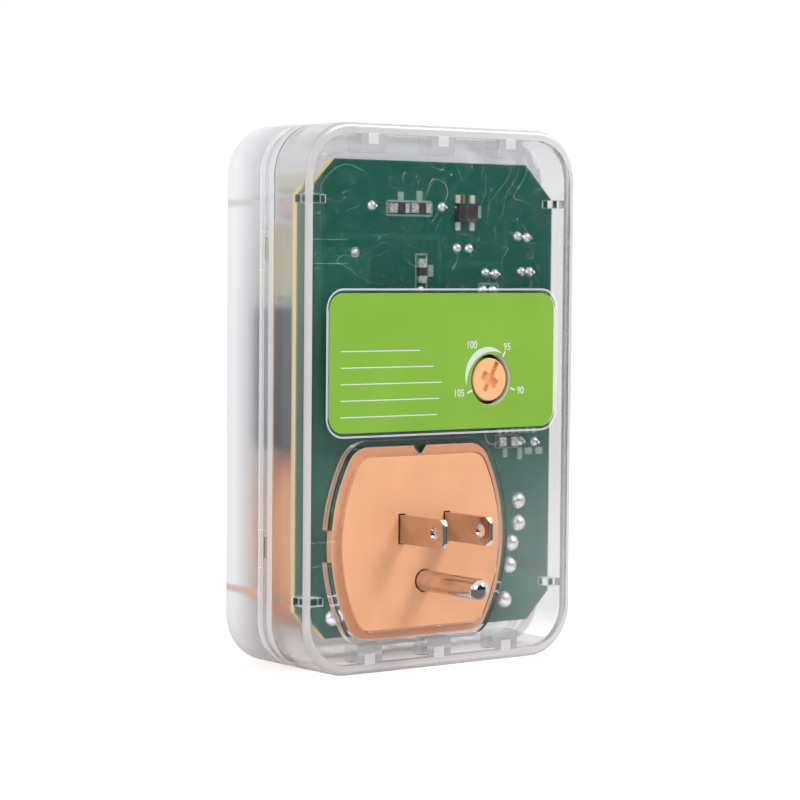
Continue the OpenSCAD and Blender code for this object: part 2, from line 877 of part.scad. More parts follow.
module trimmer_cover() {
    half = trimmer_w / 2;
    color("black")
        translate([knob_x, 0, knob_z]) {
            span([-half, trimmer_y1, -half], [half, trimmer_y1 + trimmer_cover_t, half]);
            for (i = [-1, 0, 1])
                translate([i * half / 2, 0, half]) {
                    span([-trimmer_leg_w / 2, trimmer_y1, -bite],
                         [trimmer_leg_w / 2, trimmer_y1 + trimmer_cover_t, snap_gap + trimmer_leg_w]);
                    span([-trimmer_leg_w / 2, board_front, snap_gap],
                         [trimmer_leg_w / 2, trimmer_y1 + bite, snap_gap + trimmer_leg_w]);
                }
        }
}

module relay_base() {
    color("black")
        translate([stack_x0 + relay_w / 2, 0, relay_z0 + relay_l / 2])
            rounded_block(relay_w - 2 * relay_lip, relay_l - 2 * relay_lip, relay_corner_r - relay_lip,
                          board_front, board_front + relay_base_h, 0, 0);
}

module relay_case() {
    color("slategray")
        translate([stack_x0 + relay_w / 2, 0, relay_z0 + relay_l / 2])
            rounded_block(relay_w, relay_l, relay_corner_r, board_front + relay_base_h,
                          board_front + relay_h, 0, relay_edge_r);
}

module film_capacitor() {
    color("tan")
        translate([stack_x0 + film_w / 2, 0, film_z0 + film_l / 2])
            rounded_block(film_w, film_l, film_corner_r, board_front, board_front + film_h, 0, film_edge_r);
}

module snubber_capacitor() {
    color("khaki")
        translate([stack_x0 + snubber_w / 2, 0, snubber_z0 + snubber_l / 2])
            rounded_block(snubber_w, snubber_l, film_corner_r, board_front,
                          board_front + snubber_h, 0, film_edge_r);
}

// Disc with rounded rims on two leads; its axis is +Z and its foot at y = 0
module varistor() {
    translate([0, varistor_foot + varistor_d / 2, 0])
        rotate_extrude()
            translate([0, -varistor_t / 2])
                edge_profile(varistor_d / 2, 0, varistor_t, varistor_edge_r, varistor_edge_r);
    for (s = [-1, 1])
        translate([s * lead_pitch / 2, 0, 0])
            rod(lead_d, 0, varistor_foot + varistor_d / 4);
}

module input_varistor() {
    color("salmon")
        translate([stack_x0 + varistor_d / 2, board_front, (varistor_z0 + varistor_z1) / 2])
            varistor();
}

module output_varistor() {
    color("steelblue")
        on_board(output_share)
            translate([0, board_front, 0])
                rotate([0, 90, 0])
                    varistor();
}

// Rolled-edge can with its crimped groove, standing on y = 0
module can(d, h) {
    rotate([-90, 0, 0])
        rotate_extrude()
            difference() {
                edge_profile(d / 2, 0, h, can_edge_r, can_edge_r);
                translate([d / 2, h / 5]) circle(can_groove);
            }
}

module filter_capacitor() {
    color("midnightblue")
        on_board(filter_share) translate([0, board_front, 0]) can(filter_d, filter_h);
}

module timing_capacitor() {
    color("midnightblue")
        on_board(timing_share) translate([0, board_front, 0]) can(timing_d, timing_h);
}

// Status light number i, counted from the middle
module status_led(i) {
    translate([plug_offset + i * led_pitch, 0, led_z]) {
        rod(led_rim_d, led_y0, led_y0 + led_rim_t);
        rod(led_d, led_y0, led_y1 - led_d / 2);
        translate([0, led_y1 - led_d / 2, 0]) sphere(d = led_d);
    }
}

module led_red() {
    color("firebrick") status_led(-1);
}

module led_yellow() {
    color("gold") status_led(0);
}

module led_green() {
    color("limegreen") status_led(1);
}

module led_spacers() {
    color("white")
        for (i = [-1, 0, 1])
            translate([plug_offset + i * led_pitch, 0, led_z])
                difference() {
                    rod(spacer_d, board_front, led_y0);
                    rod(spacer_bore_d, board_front - cut, led_y0 + cut);
                }
}

module control_chip() {
    y0 = board_front + chip_standoff;
    color("black")
        translate([resistor_x, 0, chip_z]) {
            span([-chip_body_w / 2, y0, -chip_body_l / 2],
                 [chip_body_w / 2, y0 + chip_body_h, chip_body_l / 2]);
            for (i = [0 : chip_legs - 1])
                translate([0, 0, (i - (chip_legs - 1) / 2) * chip_leg_pitch]) {
                    span([-chip_row_w / 2, y0 + chip_body_h / 2, -chip_leg_w / 2],
                         [chip_row_w / 2, y0 + chip_body_h / 2 + chip_leg_t, chip_leg_w / 2]);
                    for (s = [-1, 1])
                        span([s * chip_row_w / 2 - chip_leg_t / 2, board_front, -chip_leg_w / 2],
                             [s * chip_row_w / 2 + chip_leg_t / 2, y0 + chip_body_h / 2 + chip_leg_t,
                              chip_leg_w / 2]);
                }
        }
}

module driver_transistor() {
    y0 = board_front + transistor_rise;
    color("black")
        translate([transistor_x, 0, tall_row_z]) {
            difference() {
                rod(transistor_w, y0, y0 + transistor_h);
                span([-transistor_w, y0 - cut, transistor_w / 4],
                     [transistor_w, y0 + transistor_h + cut, transistor_w]);
            }
            for (i = [-1, 0, 1])
                translate([i * transistor_w / 4, 0, 0])
                    rod(axial_lead_d, board_front, y0 + bite);
        }
}

// Axial part with both leads bent down to the board; its axis is X
module axial_part(d, l, pitch) {
    rise = d / 2 + lead_d / 4;
    translate([0, rise, 0]) rotate([0, 90, 0]) cylinder(d = d, h = l, center = true);
    translate([0, rise, 0]) rotate([0, 90, 0]) cylinder(d = axial_lead_d, h = pitch, center = true);
    for (s = [-1, 1])
        translate([s * pitch / 2, 0, 0]) {
            rod(axial_lead_d, 0, rise);
            translate([0, rise, 0]) sphere(d = axial_lead_d);
        }
}

module rectifier_diodes() {
    color("dimgray")
        for (z = diode_z_shares)
            on_board([diode_x_share, z])
                translate([0, board_front, 0])
                    axial_part(axial_d, axial_l, axial_pitch);
}

module axial_resistors() {
    color("burlywood")
        for (z = resistor_places)
            translate([resistor_x, board_front, z])
                axial_part(axial_d, axial_l, axial_pitch);
}

module dropper_resistor() {
    color("burlywood")
        translate([dropper_x, board_front, tall_row_z])
            rotate([0, 90, 0])
                axial_part(dropper_d, dropper_l, dropper_l + axial_l);
}

// Chip resistor on the board's rear face, w wide and h high
module chip_resistor(w, h) {
    span([-w / 2, board_rear - smd_t, -h / 2], [w / 2, board_rear, h / 2]);
}

module chip_resistors() {
    color("dimgray") {
        for (s = upright_smd_shares) on_board(s) chip_resistor(smd_w, smd_l);
        for (s = level_smd_shares) on_board(s) chip_resistor(smd_l, smd_w);
    }
}

module regulator_chip() {
    color("black")
        on_board(regulator_share) {
            span([-regulator_w / 2, board_rear - regulator_t, -regulator_h / 2],
                 [regulator_w / 2, board_rear, regulator_h / 2]);
            for (i = [-1, 1], s = [-1, 1])
                translate([i * regulator_w * 3 / 8, board_rear, s * (regulator_h / 2)])
                    span([-regulator_leg_w / 2, -regulator_leg_t, -regulator_leg_l],
                         [regulator_leg_w / 2, 0, regulator_leg_l]);
        }
}

// Domed solder joint of radius r on the board's rear face
module joint(r) {
    rise = solder_rise * r / solder_r;
    ball_r = (r * r + rise * rise) / (2 * rise);
    intersection() {
        translate([0, board_rear + ball_r - rise, 0]) sphere(ball_r);
        rod(2 * r + cut, board_rear - rise - cut, board_rear);
    }
}

module solder_joints() {
    color("silver") {
        for (s = solder_shares) on_board(s) joint(solder_r);
        for (s = small_solder_shares) on_board(s) joint(small_solder_r);
        for (s = big_solder_shares) on_board(s) joint(big_solder_r);
    }
}

module socket_face() {
    slot_y0 = front_inner - flange_t;
    color("sandybrown")
        difference() {
            union() {
                face_prism(0, front_inner - bite, housing_d);
                face_prism(flange_w, slot_y0, front_inner);
            }
            flange_key(key_gap, slot_y0 - cut, front_inner + bite);
            for (s = [[-1, line_slot_h], [1, neutral_slot_h]])
                span([s[0] * blade_pitch / 2 - socket_slot_t / 2, slot_y0 - cut, -s[1] / 2],
                     [s[0] * blade_pitch / 2 + socket_slot_t / 2, housing_d + cut, s[1] / 2]);
            translate([0, 0, -pin_drop]) {
                rod(ground_slot_w, slot_y0 - cut, housing_d + cut);
                span([-ground_slot_w / 2, slot_y0 - cut, 0],
                     [ground_slot_w / 2, housing_d + cut, ground_slot_w / 2]);
            }
        }
}

// A contact chamber of the socket, open to the front
module chamber(x, z, w, h) {
    span([x - w / 2, chamber_floor, z - h / 2], [x + w / 2, socket_body_front + cut, z + h / 2]);
}

module socket_body() {
    color("peru")
        difference() {
            union() {
                face_prism(-socket_body_shrink, socket_body_rear, socket_body_front);
                for (sx = [-1, 1], sz = [-1, 1])
                    translate([face_cx + sx * face_w * foot_x_share, 0,
                               face_cz + sz * face_h * foot_z_share])
                        rod(foot_d, board_front, socket_body_rear + bite);
            }
            for (s = [-1, 1]) {
                chamber(s * blade_pitch / 2, 0, chamber_w, chamber_h);
                contact_tail(s, tail_room, socket_body_rear - cut, chamber_floor + cut);
            }
            chamber(0, -pin_drop, ground_chamber_w, ground_chamber_h);
            translate([0, 0, -pin_drop])
                rod(pin_tail_d + 2 * tail_room, socket_body_rear - cut, chamber_floor + cut);
        }
}

// Section of a sprung contact: a foot and two leaves that close to a waist
// and open again to a mouth; x across, y along the plug's way
module contact_section(foot_w, waist, mouth) {
    depth = socket_body_front - contact_clear - chamber_floor;
    neck = depth * waist_share;
    half = foot_w / 2;
    leaf = [[waist / 2, neck], [mouth / 2, depth]];
    polygon([
        [-half, 0], [half, 0],
        leaf[0] + [contact_t, 0], leaf[1] + [contact_t, 0], leaf[1], leaf[0],
        [half - contact_t, contact_t], [contact_t - half, contact_t],
        [-leaf[0][0], neck], [-leaf[1][0], depth],
        [-leaf[1][0] - contact_t, depth], [-leaf[0][0] - contact_t, neck]
    ]);
}

module blade_contact(s) {
    translate([s * blade_pitch / 2, chamber_floor, -contact_h / 2])
        linear_extrude(contact_h)
            contact_section(contact_foot_w, contact_waist, contact_mouth);
    contact_tail(s, 0, board_rear - contact_t, chamber_floor + contact_t);
}

module line_contact() {
    color("goldenrod") blade_contact(-1);
}

module neutral_contact() {
    color("goldenrod") blade_contact(1);
}

module ground_contact() {
    color("goldenrod")
        translate([0, chamber_floor, -pin_drop - ground_contact_h / 2])
            linear_extrude(ground_contact_h)
                contact_section(ground_foot_w, ground_waist, ground_mouth);
}

rear_shell();
front_shell();
label_plate();
plug_base();
line_blade();
neutral_blade();
ground_pin();
adjuster_knob();
trimmer_base();
trimmer_rotor();
trimmer_cover();
circuit_board();
relay_base();
relay_case();
socket_face();
socket_body();
line_contact();
neutral_contact();
ground_contact();
film_capacitor();
snubber_capacitor();
input_varistor();
output_varistor();
filter_capacitor();
timing_capacitor();
led_red();
led_yellow();
led_green();
led_spacers();
control_chip();
driver_transistor();
rectifier_diodes();
axial_resistors();
dropper_resistor();
chip_resistors();
regulator_chip();
solder_joints();
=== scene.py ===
# %% [markdown]
# A plug-in voltage protector is a clear snap housing with a circuit board
# inside, a grounded plug on one face and a grounded socket on the other. The
# packed model gives every rigid piece at its real size, so this script only
# dresses them: it rounds the moulded edges, adds print, solder and other thin
# detail, and gives each piece a finish made of nodes.

# %% Load the packed frame
import math
from functools import reduce

import bpy
from mathutils import Matrix, Vector


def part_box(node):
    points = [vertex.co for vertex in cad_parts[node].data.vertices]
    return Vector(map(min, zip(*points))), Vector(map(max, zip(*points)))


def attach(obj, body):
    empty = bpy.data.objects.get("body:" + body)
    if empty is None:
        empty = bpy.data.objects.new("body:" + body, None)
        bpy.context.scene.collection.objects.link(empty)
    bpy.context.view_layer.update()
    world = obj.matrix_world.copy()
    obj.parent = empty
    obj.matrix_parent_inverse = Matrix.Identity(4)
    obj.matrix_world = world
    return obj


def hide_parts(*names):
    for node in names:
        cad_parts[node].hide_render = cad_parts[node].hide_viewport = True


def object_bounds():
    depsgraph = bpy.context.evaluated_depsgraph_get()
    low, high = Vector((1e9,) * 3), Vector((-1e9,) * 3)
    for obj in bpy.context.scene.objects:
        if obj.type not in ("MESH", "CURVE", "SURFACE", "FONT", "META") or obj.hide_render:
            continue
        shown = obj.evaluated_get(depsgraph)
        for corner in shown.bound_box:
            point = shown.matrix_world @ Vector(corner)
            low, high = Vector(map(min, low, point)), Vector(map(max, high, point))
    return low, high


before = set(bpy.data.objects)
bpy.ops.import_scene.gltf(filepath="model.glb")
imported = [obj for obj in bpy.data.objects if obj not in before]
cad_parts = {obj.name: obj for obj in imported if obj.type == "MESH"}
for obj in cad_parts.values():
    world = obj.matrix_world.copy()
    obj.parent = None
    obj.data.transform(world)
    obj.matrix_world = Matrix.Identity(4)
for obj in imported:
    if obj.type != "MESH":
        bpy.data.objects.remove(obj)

MM = 0.001
HOUSING, KNOB = "housing", "knob"
cad_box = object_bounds()
print("pieces in the frame:", len(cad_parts))

# %% [markdown]
# Shader patterns read best as arithmetic. This small class wraps a socket of
# a node tree and overloads the operators, so that `1 - mask` adds a Math node
# by itself. Every other node comes from one function, which sets the node's
# own settings first and its sockets after.

# %% Values and nodes
def add_node(tree, kind, settings=None, sockets=None, out=0):
    """A node of any kind, as the Value of one of its outputs if it has any."""
    node = tree.nodes.new("ShaderNode" + kind)
    for name, value in (settings or {}).items():
        setattr(node, name, value)
    for key, value in (sockets or {}).items():
        if isinstance(value, Value):
            tree.links.new(value.socket, node.inputs[key])
        else:
            node.inputs[key].default_value = value
    return Value(node.outputs[out]) if node.outputs else None


class Value:
    """A socket that takes part in sums; each operator adds a Math node."""

    def __init__(self, socket):
        self.socket = socket

    def by(self, operation, *numbers):
        """A Math node of the given operation on these numbers, in order."""
        tree = self.socket.id_data
        return add_node(tree, "Math", {"operation": operation}, dict(enumerate(numbers)))

    def __add__(self, other):
        return self.by("ADD", self, other)

    def __mul__(self, other):
        return self.by("MULTIPLY", self, other)

    def __sub__(self, other):
        return self.by("SUBTRACT", self, other)

    def __rsub__(self, other):
        return self.by("SUBTRACT", other, self)

    def __gt__(self, other):
        return self.by("GREATER_THAN", self, other)

    def __lt__(self, other):
        return self.by("LESS_THAN", self, other)

    __radd__ = __add__
    __rmul__ = __mul__

    def by_more(self, other):
        """The larger of the two."""
        return self.by("MAXIMUM", self, other)

    def by_less(self, other):
        """The smaller of the two."""
        return self.by("MINIMUM", self, other)

    def folded(self, span):
        """The value folded back and forth between 0 and the span."""
        return self.by("PINGPONG", self, span)

    def root(self):
        """Its square root."""
        return self.by("SQRT", self)

    def size(self):
        """Its absolute value."""
        return self.by("ABSOLUTE", self)

    def between(self, low, high):
        """1 inside the range and 0 outside it."""
        return (self > low) * (self < high)

    def spread(self, low, high, start, end):
        """Carries the range low to high onto start to end, and clamps it."""
        tree = self.socket.id_data
        return add_node(tree, "MapRange", {}, {0: self, 1: low, 2: high, 3: start, 4: end})

    def vary(self, start, end):
        """Carries the range that most of a noise lies in onto start to end."""
        return self.spread(0.3, 0.7, start, end)


print("sums that a Value does:", sum(callable(part) for part in vars(Value).values()))

# %% [markdown]
# Colours are written as they look on a screen, from 0 to 255, and turned into
# the linear values that shaders work in. A plain grey is given by its linear
# level, because it says how much light the surface returns.

# %% Colours
def shade(red, green, blue):
    """A linear colour from screen values of 0 to 255."""
    screen = [c / 255 for c in (red, green, blue)]
    linear = [c / 12.92 if c <= 0.04045 else ((c + 0.055) / 1.055) ** 2.4 for c in screen]
    return (*linear, 1.0)


def grey(level):
    """A grey of this linear level."""
    return (level, level, level, 1.0)


WHITE = grey(1.0)
print("a screen grey of 128 is a level of", round(shade(128, 128, 128)[0], 3))

# %% [markdown]
# A Finish is one material under construction. It places its patterns in
# millimetres on Object coordinates, which stay with the piece when it moves.
# Colours are mixed by Mix nodes, because a Math node would turn them grey.

# %% Finishes
MIX_FIRST, MIX_SECOND, MIX_COLOUR = 6, 7, 2


class Finish:
    """One material's node tree, built up to a surface."""

    def __init__(self, name):
        self.material = bpy.data.materials.new(name)
        self.material.use_nodes = True
        self.tree = self.material.node_tree
        self.tree.nodes.clear()

    def node(self, kind, settings=None, sockets=None, out=0):
        return add_node(self.tree, kind, settings, sockets, out)

    def place(self):
        """Object coordinates in millimetres, as a vector."""
        coords = self.node("TexCoord", out="Object")
        return self.node("VectorMath", {"operation": "SCALE"}, {0: coords, "Scale": 1 / MM})

    def stretched(self, vector, factors):
        """A vector times a factor for each of its axes."""
        return self.node("VectorMath", {"operation": "MULTIPLY"}, {0: vector, 1: factors})

    def axes(self, vector):
        """The x, y and z of a vector."""
        parted = self.node("SeparateXYZ", {}, {0: vector})
        return [Value(socket) for socket in parted.socket.node.outputs]

    def noise(self, vector, scale, detail=2.0, distortion=0.0):
        sockets = {"Vector": vector, "Scale": scale, "Detail": detail, "Distortion": distortion}
        return self.node("TexNoise", {}, sockets)

    def mix(self, share, first, second):
        """A colour between two others."""
        sockets = {0: share, MIX_FIRST: first, MIX_SECOND: second}
        return self.node("Mix", {"data_type": "RGBA"}, sockets, out=MIX_COLOUR)

    def layers(self, colour, *coats):
        """A colour with others laid over it by their masks, in this order."""
        for mask, coat in coats:
            colour = self.mix(mask, colour, coat)
        return colour

    def bump(self, height, distance, strength=1.0):
        return self.node("Bump", {}, {"Height": height, "Distance": distance, "Strength": strength})

    def ray(self, kind):
        """1 for a ray of this kind, such as Camera or Shadow."""
        return self.node("LightPath", out=f"Is {kind} Ray")

    def skin(self, **sockets):
        """A Principled shader; underscores in a name stand for spaces."""
        return self.node("BsdfPrincipled", {}, {k.replace("_", " "): v for k, v in sockets.items()})

    def clear(self, level):
        """A shader that rays cross without bending, dimmed to a level."""
        return self.node("BsdfTransparent", {}, {"Color": grey(level)})

    def join(self, share, first, second):
        """A Mix Shader: the second shader where share is 1."""
        return self.node("MixShader", {}, {0: share, 1: first, 2: second})

    def done(self, surface):
        """Connects the surface and hands over the material."""
        self.node("OutputMaterial", {}, {"Surface": surface})
        print("finish:", self.material.name, "of", len(self.tree.nodes), "nodes")
        return self.material


def new_finish(name):
    """A finish, its place in millimetres, and the three axes of that place."""
    finish = Finish(name)
    place = finish.place()
    return finish, place, *finish.axes(place)


print("steps of a Finish:", len([part for part in vars(Finish) if part[0] != "_"]))

# %% [markdown]
# Marks on the shells are painted by how far they lie from the outline, so the
# outline comes first. It is a rounded rectangle that takes its size from the
# packed boxes, and `inwards` says how deep a point lies inside it.

# %% The housing's outline
def box_mm(node):
    """The lowest and the highest corner of a packed node, in millimetres."""
    return [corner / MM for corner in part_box(node)]


WALL, CORNER_R = 2.2, 11.5
HOUSE_LOW, HOUSE_HIGH = box_mm("rear_shell")
HOUSE_DEPTH = box_mm("front_shell")[1].y
HOUSE_MIDDLE = (HOUSE_LOW + HOUSE_HIGH) / 2
HOUSE_HALF = (HOUSE_HIGH - HOUSE_LOW) / 2
SKIN, HAIR = 0.35, 0.05


def inwards(x, z, middle=HOUSE_MIDDLE, half=HOUSE_HALF, radius=CORNER_R):
    """Millimetres in from a rounded rectangle; the housing's unless given."""
    across = (x - middle.x).size() - (half.x - radius)
    along = (z - middle.z).size() - (half.z - radius)
    past_x, past_z = across.by_more(0.0), along.by_more(0.0)
    return radius - (past_x * past_x + past_z * past_z).root() - across.by_more(along).by_less(0.0)


def from_point(x, z, point_x, point_z):
    """Millimetres from a point of the plate."""
    across, along = x - point_x, z - point_z
    return (across * across + along * along).root()


def near_any(value, places, reach):
    """1 within reach of any of the places."""
    return reduce(Value.__add__, [(value - place).size() < reach for place in places])


print("housing in mm:", round(2 * HOUSE_HALF.x, 1), round(2 * HOUSE_HALF.z, 1), round(HOUSE_DEPTH, 1))

# %% [markdown]
# The shells are injection-moulded clear plastic, which bends light. Cycles
# would keep lamps out of a sealed glass box, so rays on their way to a lamp
# and rays between dull surfaces pass straight through, a little dimmed. Some
# inner faces are only a thin pale veil: if they bent light as well, they
# would break up what lies behind them.

# %% How the plastic passes light
PLASTIC_IOR = 1.57


def let_lamps_in(finish, surface, level):
    """A surface that shadow rays and diffuse rays cross without bending."""
    clear = finish.clear(level)
    past_shadow = finish.join(finish.ray("Shadow"), surface, clear)
    return finish.join(finish.ray("Diffuse"), past_shadow, clear)


def veil(finish, share, dull):
    """A share of a dull shader over whatever lies behind."""
    return finish.join(share, finish.clear(0.97), dull)


print("light bends by", PLASTIC_IOR)

# %% [markdown]
# The plate has fine curved scratches, most of them near its top. Each set is
# made of the contour lines of one slow noise, kept only inside the patches
# of a second noise, so that they stop and start as real ones do.

# %% Scratches on the plate
SCRATCH_SETS = ((0.05, 3.0), (0.08, 23.0), (0.11, 41.0), (0.16, 87.0))
CONTOUR_STEP, CONTOUR_W = 0.045, 0.001
SCRATCH_LOW, SCRATCH_HIGH = 35, 78


def scratches(finish, place, z):
    """A mask of fine curved scratches, fewer low on the plate."""
    sets = []
    for scale, shift in SCRATCH_SETS:
        moved = finish.node("VectorMath", {"operation": "ADD"}, {0: place, 1: (shift, shift, shift)})
        line = finish.noise(moved, scale, 1.0, 0.8).folded(CONTOUR_STEP) < CONTOUR_W
        patch = finish.noise(moved, scale * 2.2, 0.0).spread(0.5, 0.62, 0.0, 1.0)
        sets.append(line * patch)
    return reduce(Value.__add__, sets) * z.spread(SCRATCH_LOW, SCRATCH_HIGH, 0.15, 1.0)


print("sets of scratches:", len(SCRATCH_SETS))

# %% [markdown]
# Three guide loops grow out of the plate at its top and three at its bottom. Through the plate each root
# shows as a dull bar of painted shade round a paler window of painted light. The loops themselves are
# only a faint veil behind the plate, so its outer face carries this mark, at the loops' real widths.

# %% Roots of the guide loops
LOOP_PITCH, LOOP_W, LOOP_WINDOW_W, LOOP_WINDOW_H, LOOP_BAR_T = 19.4, 6.7, 2.8, 2.3, 1.8
ROOT_SHIFT, LOOP_STEPS = 0.9, (-1, 0, 1)


def loop_roots(x, z):
    """Two masks: the loops' whole roots, and the windows in them."""
    up = (z - HOUSE_MIDDLE.z).size() - (HOUSE_HALF.z - WALL)
    places = [HOUSE_MIDDLE.x - ROOT_SHIFT + n * LOOP_PITCH for n in LOOP_STEPS]
    whole = near_any(x, places, LOOP_W / 2) * up.between(-LOOP_WINDOW_H - LOOP_BAR_T, 0.0)
    return whole, near_any(x, places, LOOP_WINDOW_W / 2) * up.between(-LOOP_WINDOW_H, 0.0)


print("loops at each end:", len(LOOP_STEPS), "and", LOOP_PITCH, "mm apart")

# %% [markdown]
# The plate's outer face also keeps traces of its mould: two fine lines beside each catch and the ring of
# one ejector. A bright line round the label's recess is a painted highlight, standing in for the recess
# wall that catches the light, and low on its right side a painted reflection of the bright room makes it
# paler. Together these say how dull the face is at each point.

# %% Haze on the plate
RECESS_LOW, RECESS_HIGH, RECESS_R = Vector((-26.8, 0, 21.2)), Vector((37.7, 0, 52.6)), 4.0
STEP_BAND = (-0.62, -0.2)
CATCHES, PARTING_MARK, PARTING_REACH, PARTING_END = (61.2, -4.4), 2.6, 0.05, -21.8
EJECTOR_X, EJECTOR_Z, EJECTOR_RING = 19.43, 20.0, (2.1, 2.26)
GLARE_RIGHT, GLARE_LOW = (20, 40), (-25, 25)
# "step" is the painted highlight round the recess, and "cloud" is the painted reflection of the room low
# on the right
DULLNESS = {"scratch": 0.34, "root": 0.55, "parting": 0.4, "step": 0.6, "ejector": 0.3, "cloud": 0.18}


def plate_haze(finish, place, roots):
    """How dull the plate's outer face is."""
    x, y, z = finish.axes(place)
    broken = finish.noise(place, 0.5, 1.0).spread(0.35, 0.6, 0.2, 1.0)
    heights = [catch + side * PARTING_MARK for catch in CATCHES for side in (-1, 1)]
    parting = near_any(z, heights, PARTING_REACH) * (x < PARTING_END) * broken
    middle, half = (RECESS_LOW + RECESS_HIGH) / 2, (RECESS_HIGH - RECESS_LOW) / 2
    # painted highlight: a bright line just outside the label's recess, where its wall catches the light
    step = inwards(x, z, middle, half, RECESS_R).between(*STEP_BAND)
    ejector = from_point(x, z, EJECTOR_X, EJECTOR_Z).between(*EJECTOR_RING)
    # painted reflection of the bright room, low on the plate's right side
    painted_glare = x.spread(*GLARE_RIGHT, 0.0, DULLNESS["cloud"]) * z.spread(*GLARE_LOW, 1.0, 0.0)
    lines = parting * DULLNESS["parting"] + step * DULLNESS["step"] + ejector * DULLNESS["ejector"]
    return scratches(finish, place, z) * DULLNESS["scratch"] + roots * DULLNESS["root"] + lines + painted_glare


print("recess in mm:", [round(side, 1) for side in RECESS_HIGH - RECESS_LOW])

# %% [markdown]
# Where the plate turns into the walls its rim gathers light: a pale band of painted light, wider at the
# top and the bottom and paler to the right, with a painted glint along the top. Behind the plate the two
# board ribs show by their outlines alone, painted pale as painted highlights on their edges, and the
# guide loops only as a veil.

# %% Rim, ribs and loops
RIM_DEEP, RIM_NARROW, RIM_WIDE = 0.9, 1.5, 2.5
GLINT_BAND, GLINT_FROM, GLINT_FULL = (0.45, 0.9), 3.2, 1.2
RIBS, RIB_REACH, RIB_CORE, RIB_TIP, RIB_LINE = (72.6, -15.0), 1.2, 0.84, 5.6, 0.4
BOARD_REAR = box_mm("circuit_board")[0].y
LOOP_IN, LOOP_REACH, LOOP_TIP = 4.4, 3.0, 6.6


def plate_rim(y, z, depth):
    """Two masks: the pale rim round the plate, and its glint along the top."""
    above = (z - HOUSE_MIDDLE.z).size()
    wide = above.spread(HOUSE_HALF.z - CORNER_R, HOUSE_HALF.z, RIM_NARROW, RIM_WIDE)
    rim = (y < RIM_DEEP) * (depth < wide)
    top = z.spread(HOUSE_HIGH.z - GLINT_FROM, HOUSE_HIGH.z - GLINT_FULL, 0.0, 1.0)
    return rim, rim * depth.between(*GLINT_BAND) * top


def behind_plate(y, z, depth):
    """Two masks: the ribs' outlines, and the faces of the guide loops."""
    inner = (y > WALL + HAIR) * (depth > WALL + HAIR)
    ends = (depth > RIB_TIP) * (1.0 - y.between(WALL + RIB_LINE, BOARD_REAR - RIB_LINE))
    outline = (1.0 - near_any(z, RIBS, RIB_CORE)).by_more(ends)
    loops = near_any(z, (HOUSE_LOW.z + LOOP_IN, HOUSE_HIGH.z - LOOP_IN), LOOP_REACH)
    # the ribs' outlines are painted pale, as painted highlights on their edges
    rib_edge = inner * near_any(z, RIBS, RIB_REACH) * outline
    return rib_edge, inner * loops * (1.0 - (depth > LOOP_TIP))


print("the board's rear face is at y", round(BOARD_REAR, 2))

# %% [markdown]
# Now the marks come together. The clear rear shell is glass wherever nothing dulls it. Each mark mixes in
# some dull plastic of its own tone: the line of painted shade and the pale band beside the seam, the rim
# in painted light, the bottom wall painted pale as painted light from below, the loop roots, the ribs'
# outlines and the wall of the knob's hole, which is painted pale green-grey as painted light.

# %% The clear rear shell
SHELL_EDGE = 14.41
SEAM_BAND, SHADE_BAND = (12.5, SHELL_EDGE), (12.0, 12.5)
GREY_ABOVE = 68
LOW_WALL_FROM, LOW_WALL_SLACK = 1.0, 0.3
HOLE_X, HOLE_Z, HOLE_R, HOLE_SLACK, HOLE_FROM = 18.85, 32.6, 5.75, 0.3, 0.2
WALL_ROUGH, PLATE_ROUGH, LEFT_ROUGH, LEFT_WALL = 0.12, (0.05, 0.11), 0.1, -28
SHELL_DULLNESS = {"seam": 0.62, "shade": 0.6, "low wall": 0.5, "rim": 0.85, "rib": 0.9}


def clear_glass(finish, place, x, face):
    """The part that bends light, rougher to the right and on the left wall."""
    rough = face.spread(0.0, 1.0, WALL_ROUGH, 0.0) + face * x.spread(-25, 30, *PLATE_ROUGH)
    return finish.skin(
        Base_Color=shade(250, 250, 251), IOR=PLASTIC_IOR, Transmission_Weight=1.0,
        Roughness=rough + (x < LEFT_WALL) * LEFT_ROUGH,
        Normal=finish.bump(finish.noise(place, 0.08, 1.0), 0.02 * MM, 0.3),
    )


def clear_plastic():
    """The rear shell's material."""
    finish, place, x, y, z = new_finish("clear_plastic")
    depth = inwards(x, z)
    outside, face = depth < SKIN, y < SKIN
    seam, shade_line = outside * y.between(*SEAM_BAND), outside * y.between(*SHADE_BAND)
    # painted light: a pale coat on the inner bottom wall, in place of light from below
    low_wall = (z < HOUSE_LOW.z + WALL + LOW_WALL_SLACK) * y.between(LOW_WALL_FROM, SHELL_EDGE)
    # painted light: the wall of the knob's hole, in a pale green-grey
    hole = (from_point(x, z, HOLE_X, HOLE_Z) < HOLE_R + HOLE_SLACK) * (y > HOLE_FROM)
    rim, glint = plate_rim(y, z, depth)
    rib_edge, loop = behind_plate(y, z, depth)
    roots, windows = loop_roots(x, z)
    tone = finish.layers(
        shade(238, 238, 242),
        # painted shade along the seam, warm below and grey at the top
        (shade_line, finish.mix(z > GREY_ABOVE, shade(206, 150, 96), shade(112, 118, 116))),
        # the rim is painted light, darker on the left and paler to the right
        (rim, finish.mix(x.spread(-30, 36, 0.0, 1.0), shade(198, 194, 195), shade(214, 211, 213))),
        (low_wall, shade(228, 220, 222)),
        (glint, shade(250, 250, 251)),
        # the loop roots are painted shade, and their windows painted light
        (face * roots, shade(172, 171, 174)),
        (face * windows, shade(234, 234, 238)),
        (hole, shade(214, 220, 200)),
    )
    much = SHELL_DULLNESS
    haze = face * plate_haze(finish, place, roots) + seam * much["seam"] + shade_line * much["shade"]
    haze = haze + low_wall * much["low wall"] + rim * much["rim"] + rib_edge * much["rib"] + hole
    dull = finish.skin(Base_Color=tone, Roughness=0.6)
    body = finish.join(haze, clear_glass(finish, place, x, face), dull)
    thin = veil(finish, 0.22, finish.skin(Base_Color=shade(206, 205, 208), Roughness=0.6))
    return finish.done(let_lamps_in(finish, finish.join(loop, body, thin), 0.95))


CLEAR_PLASTIC = clear_plastic()
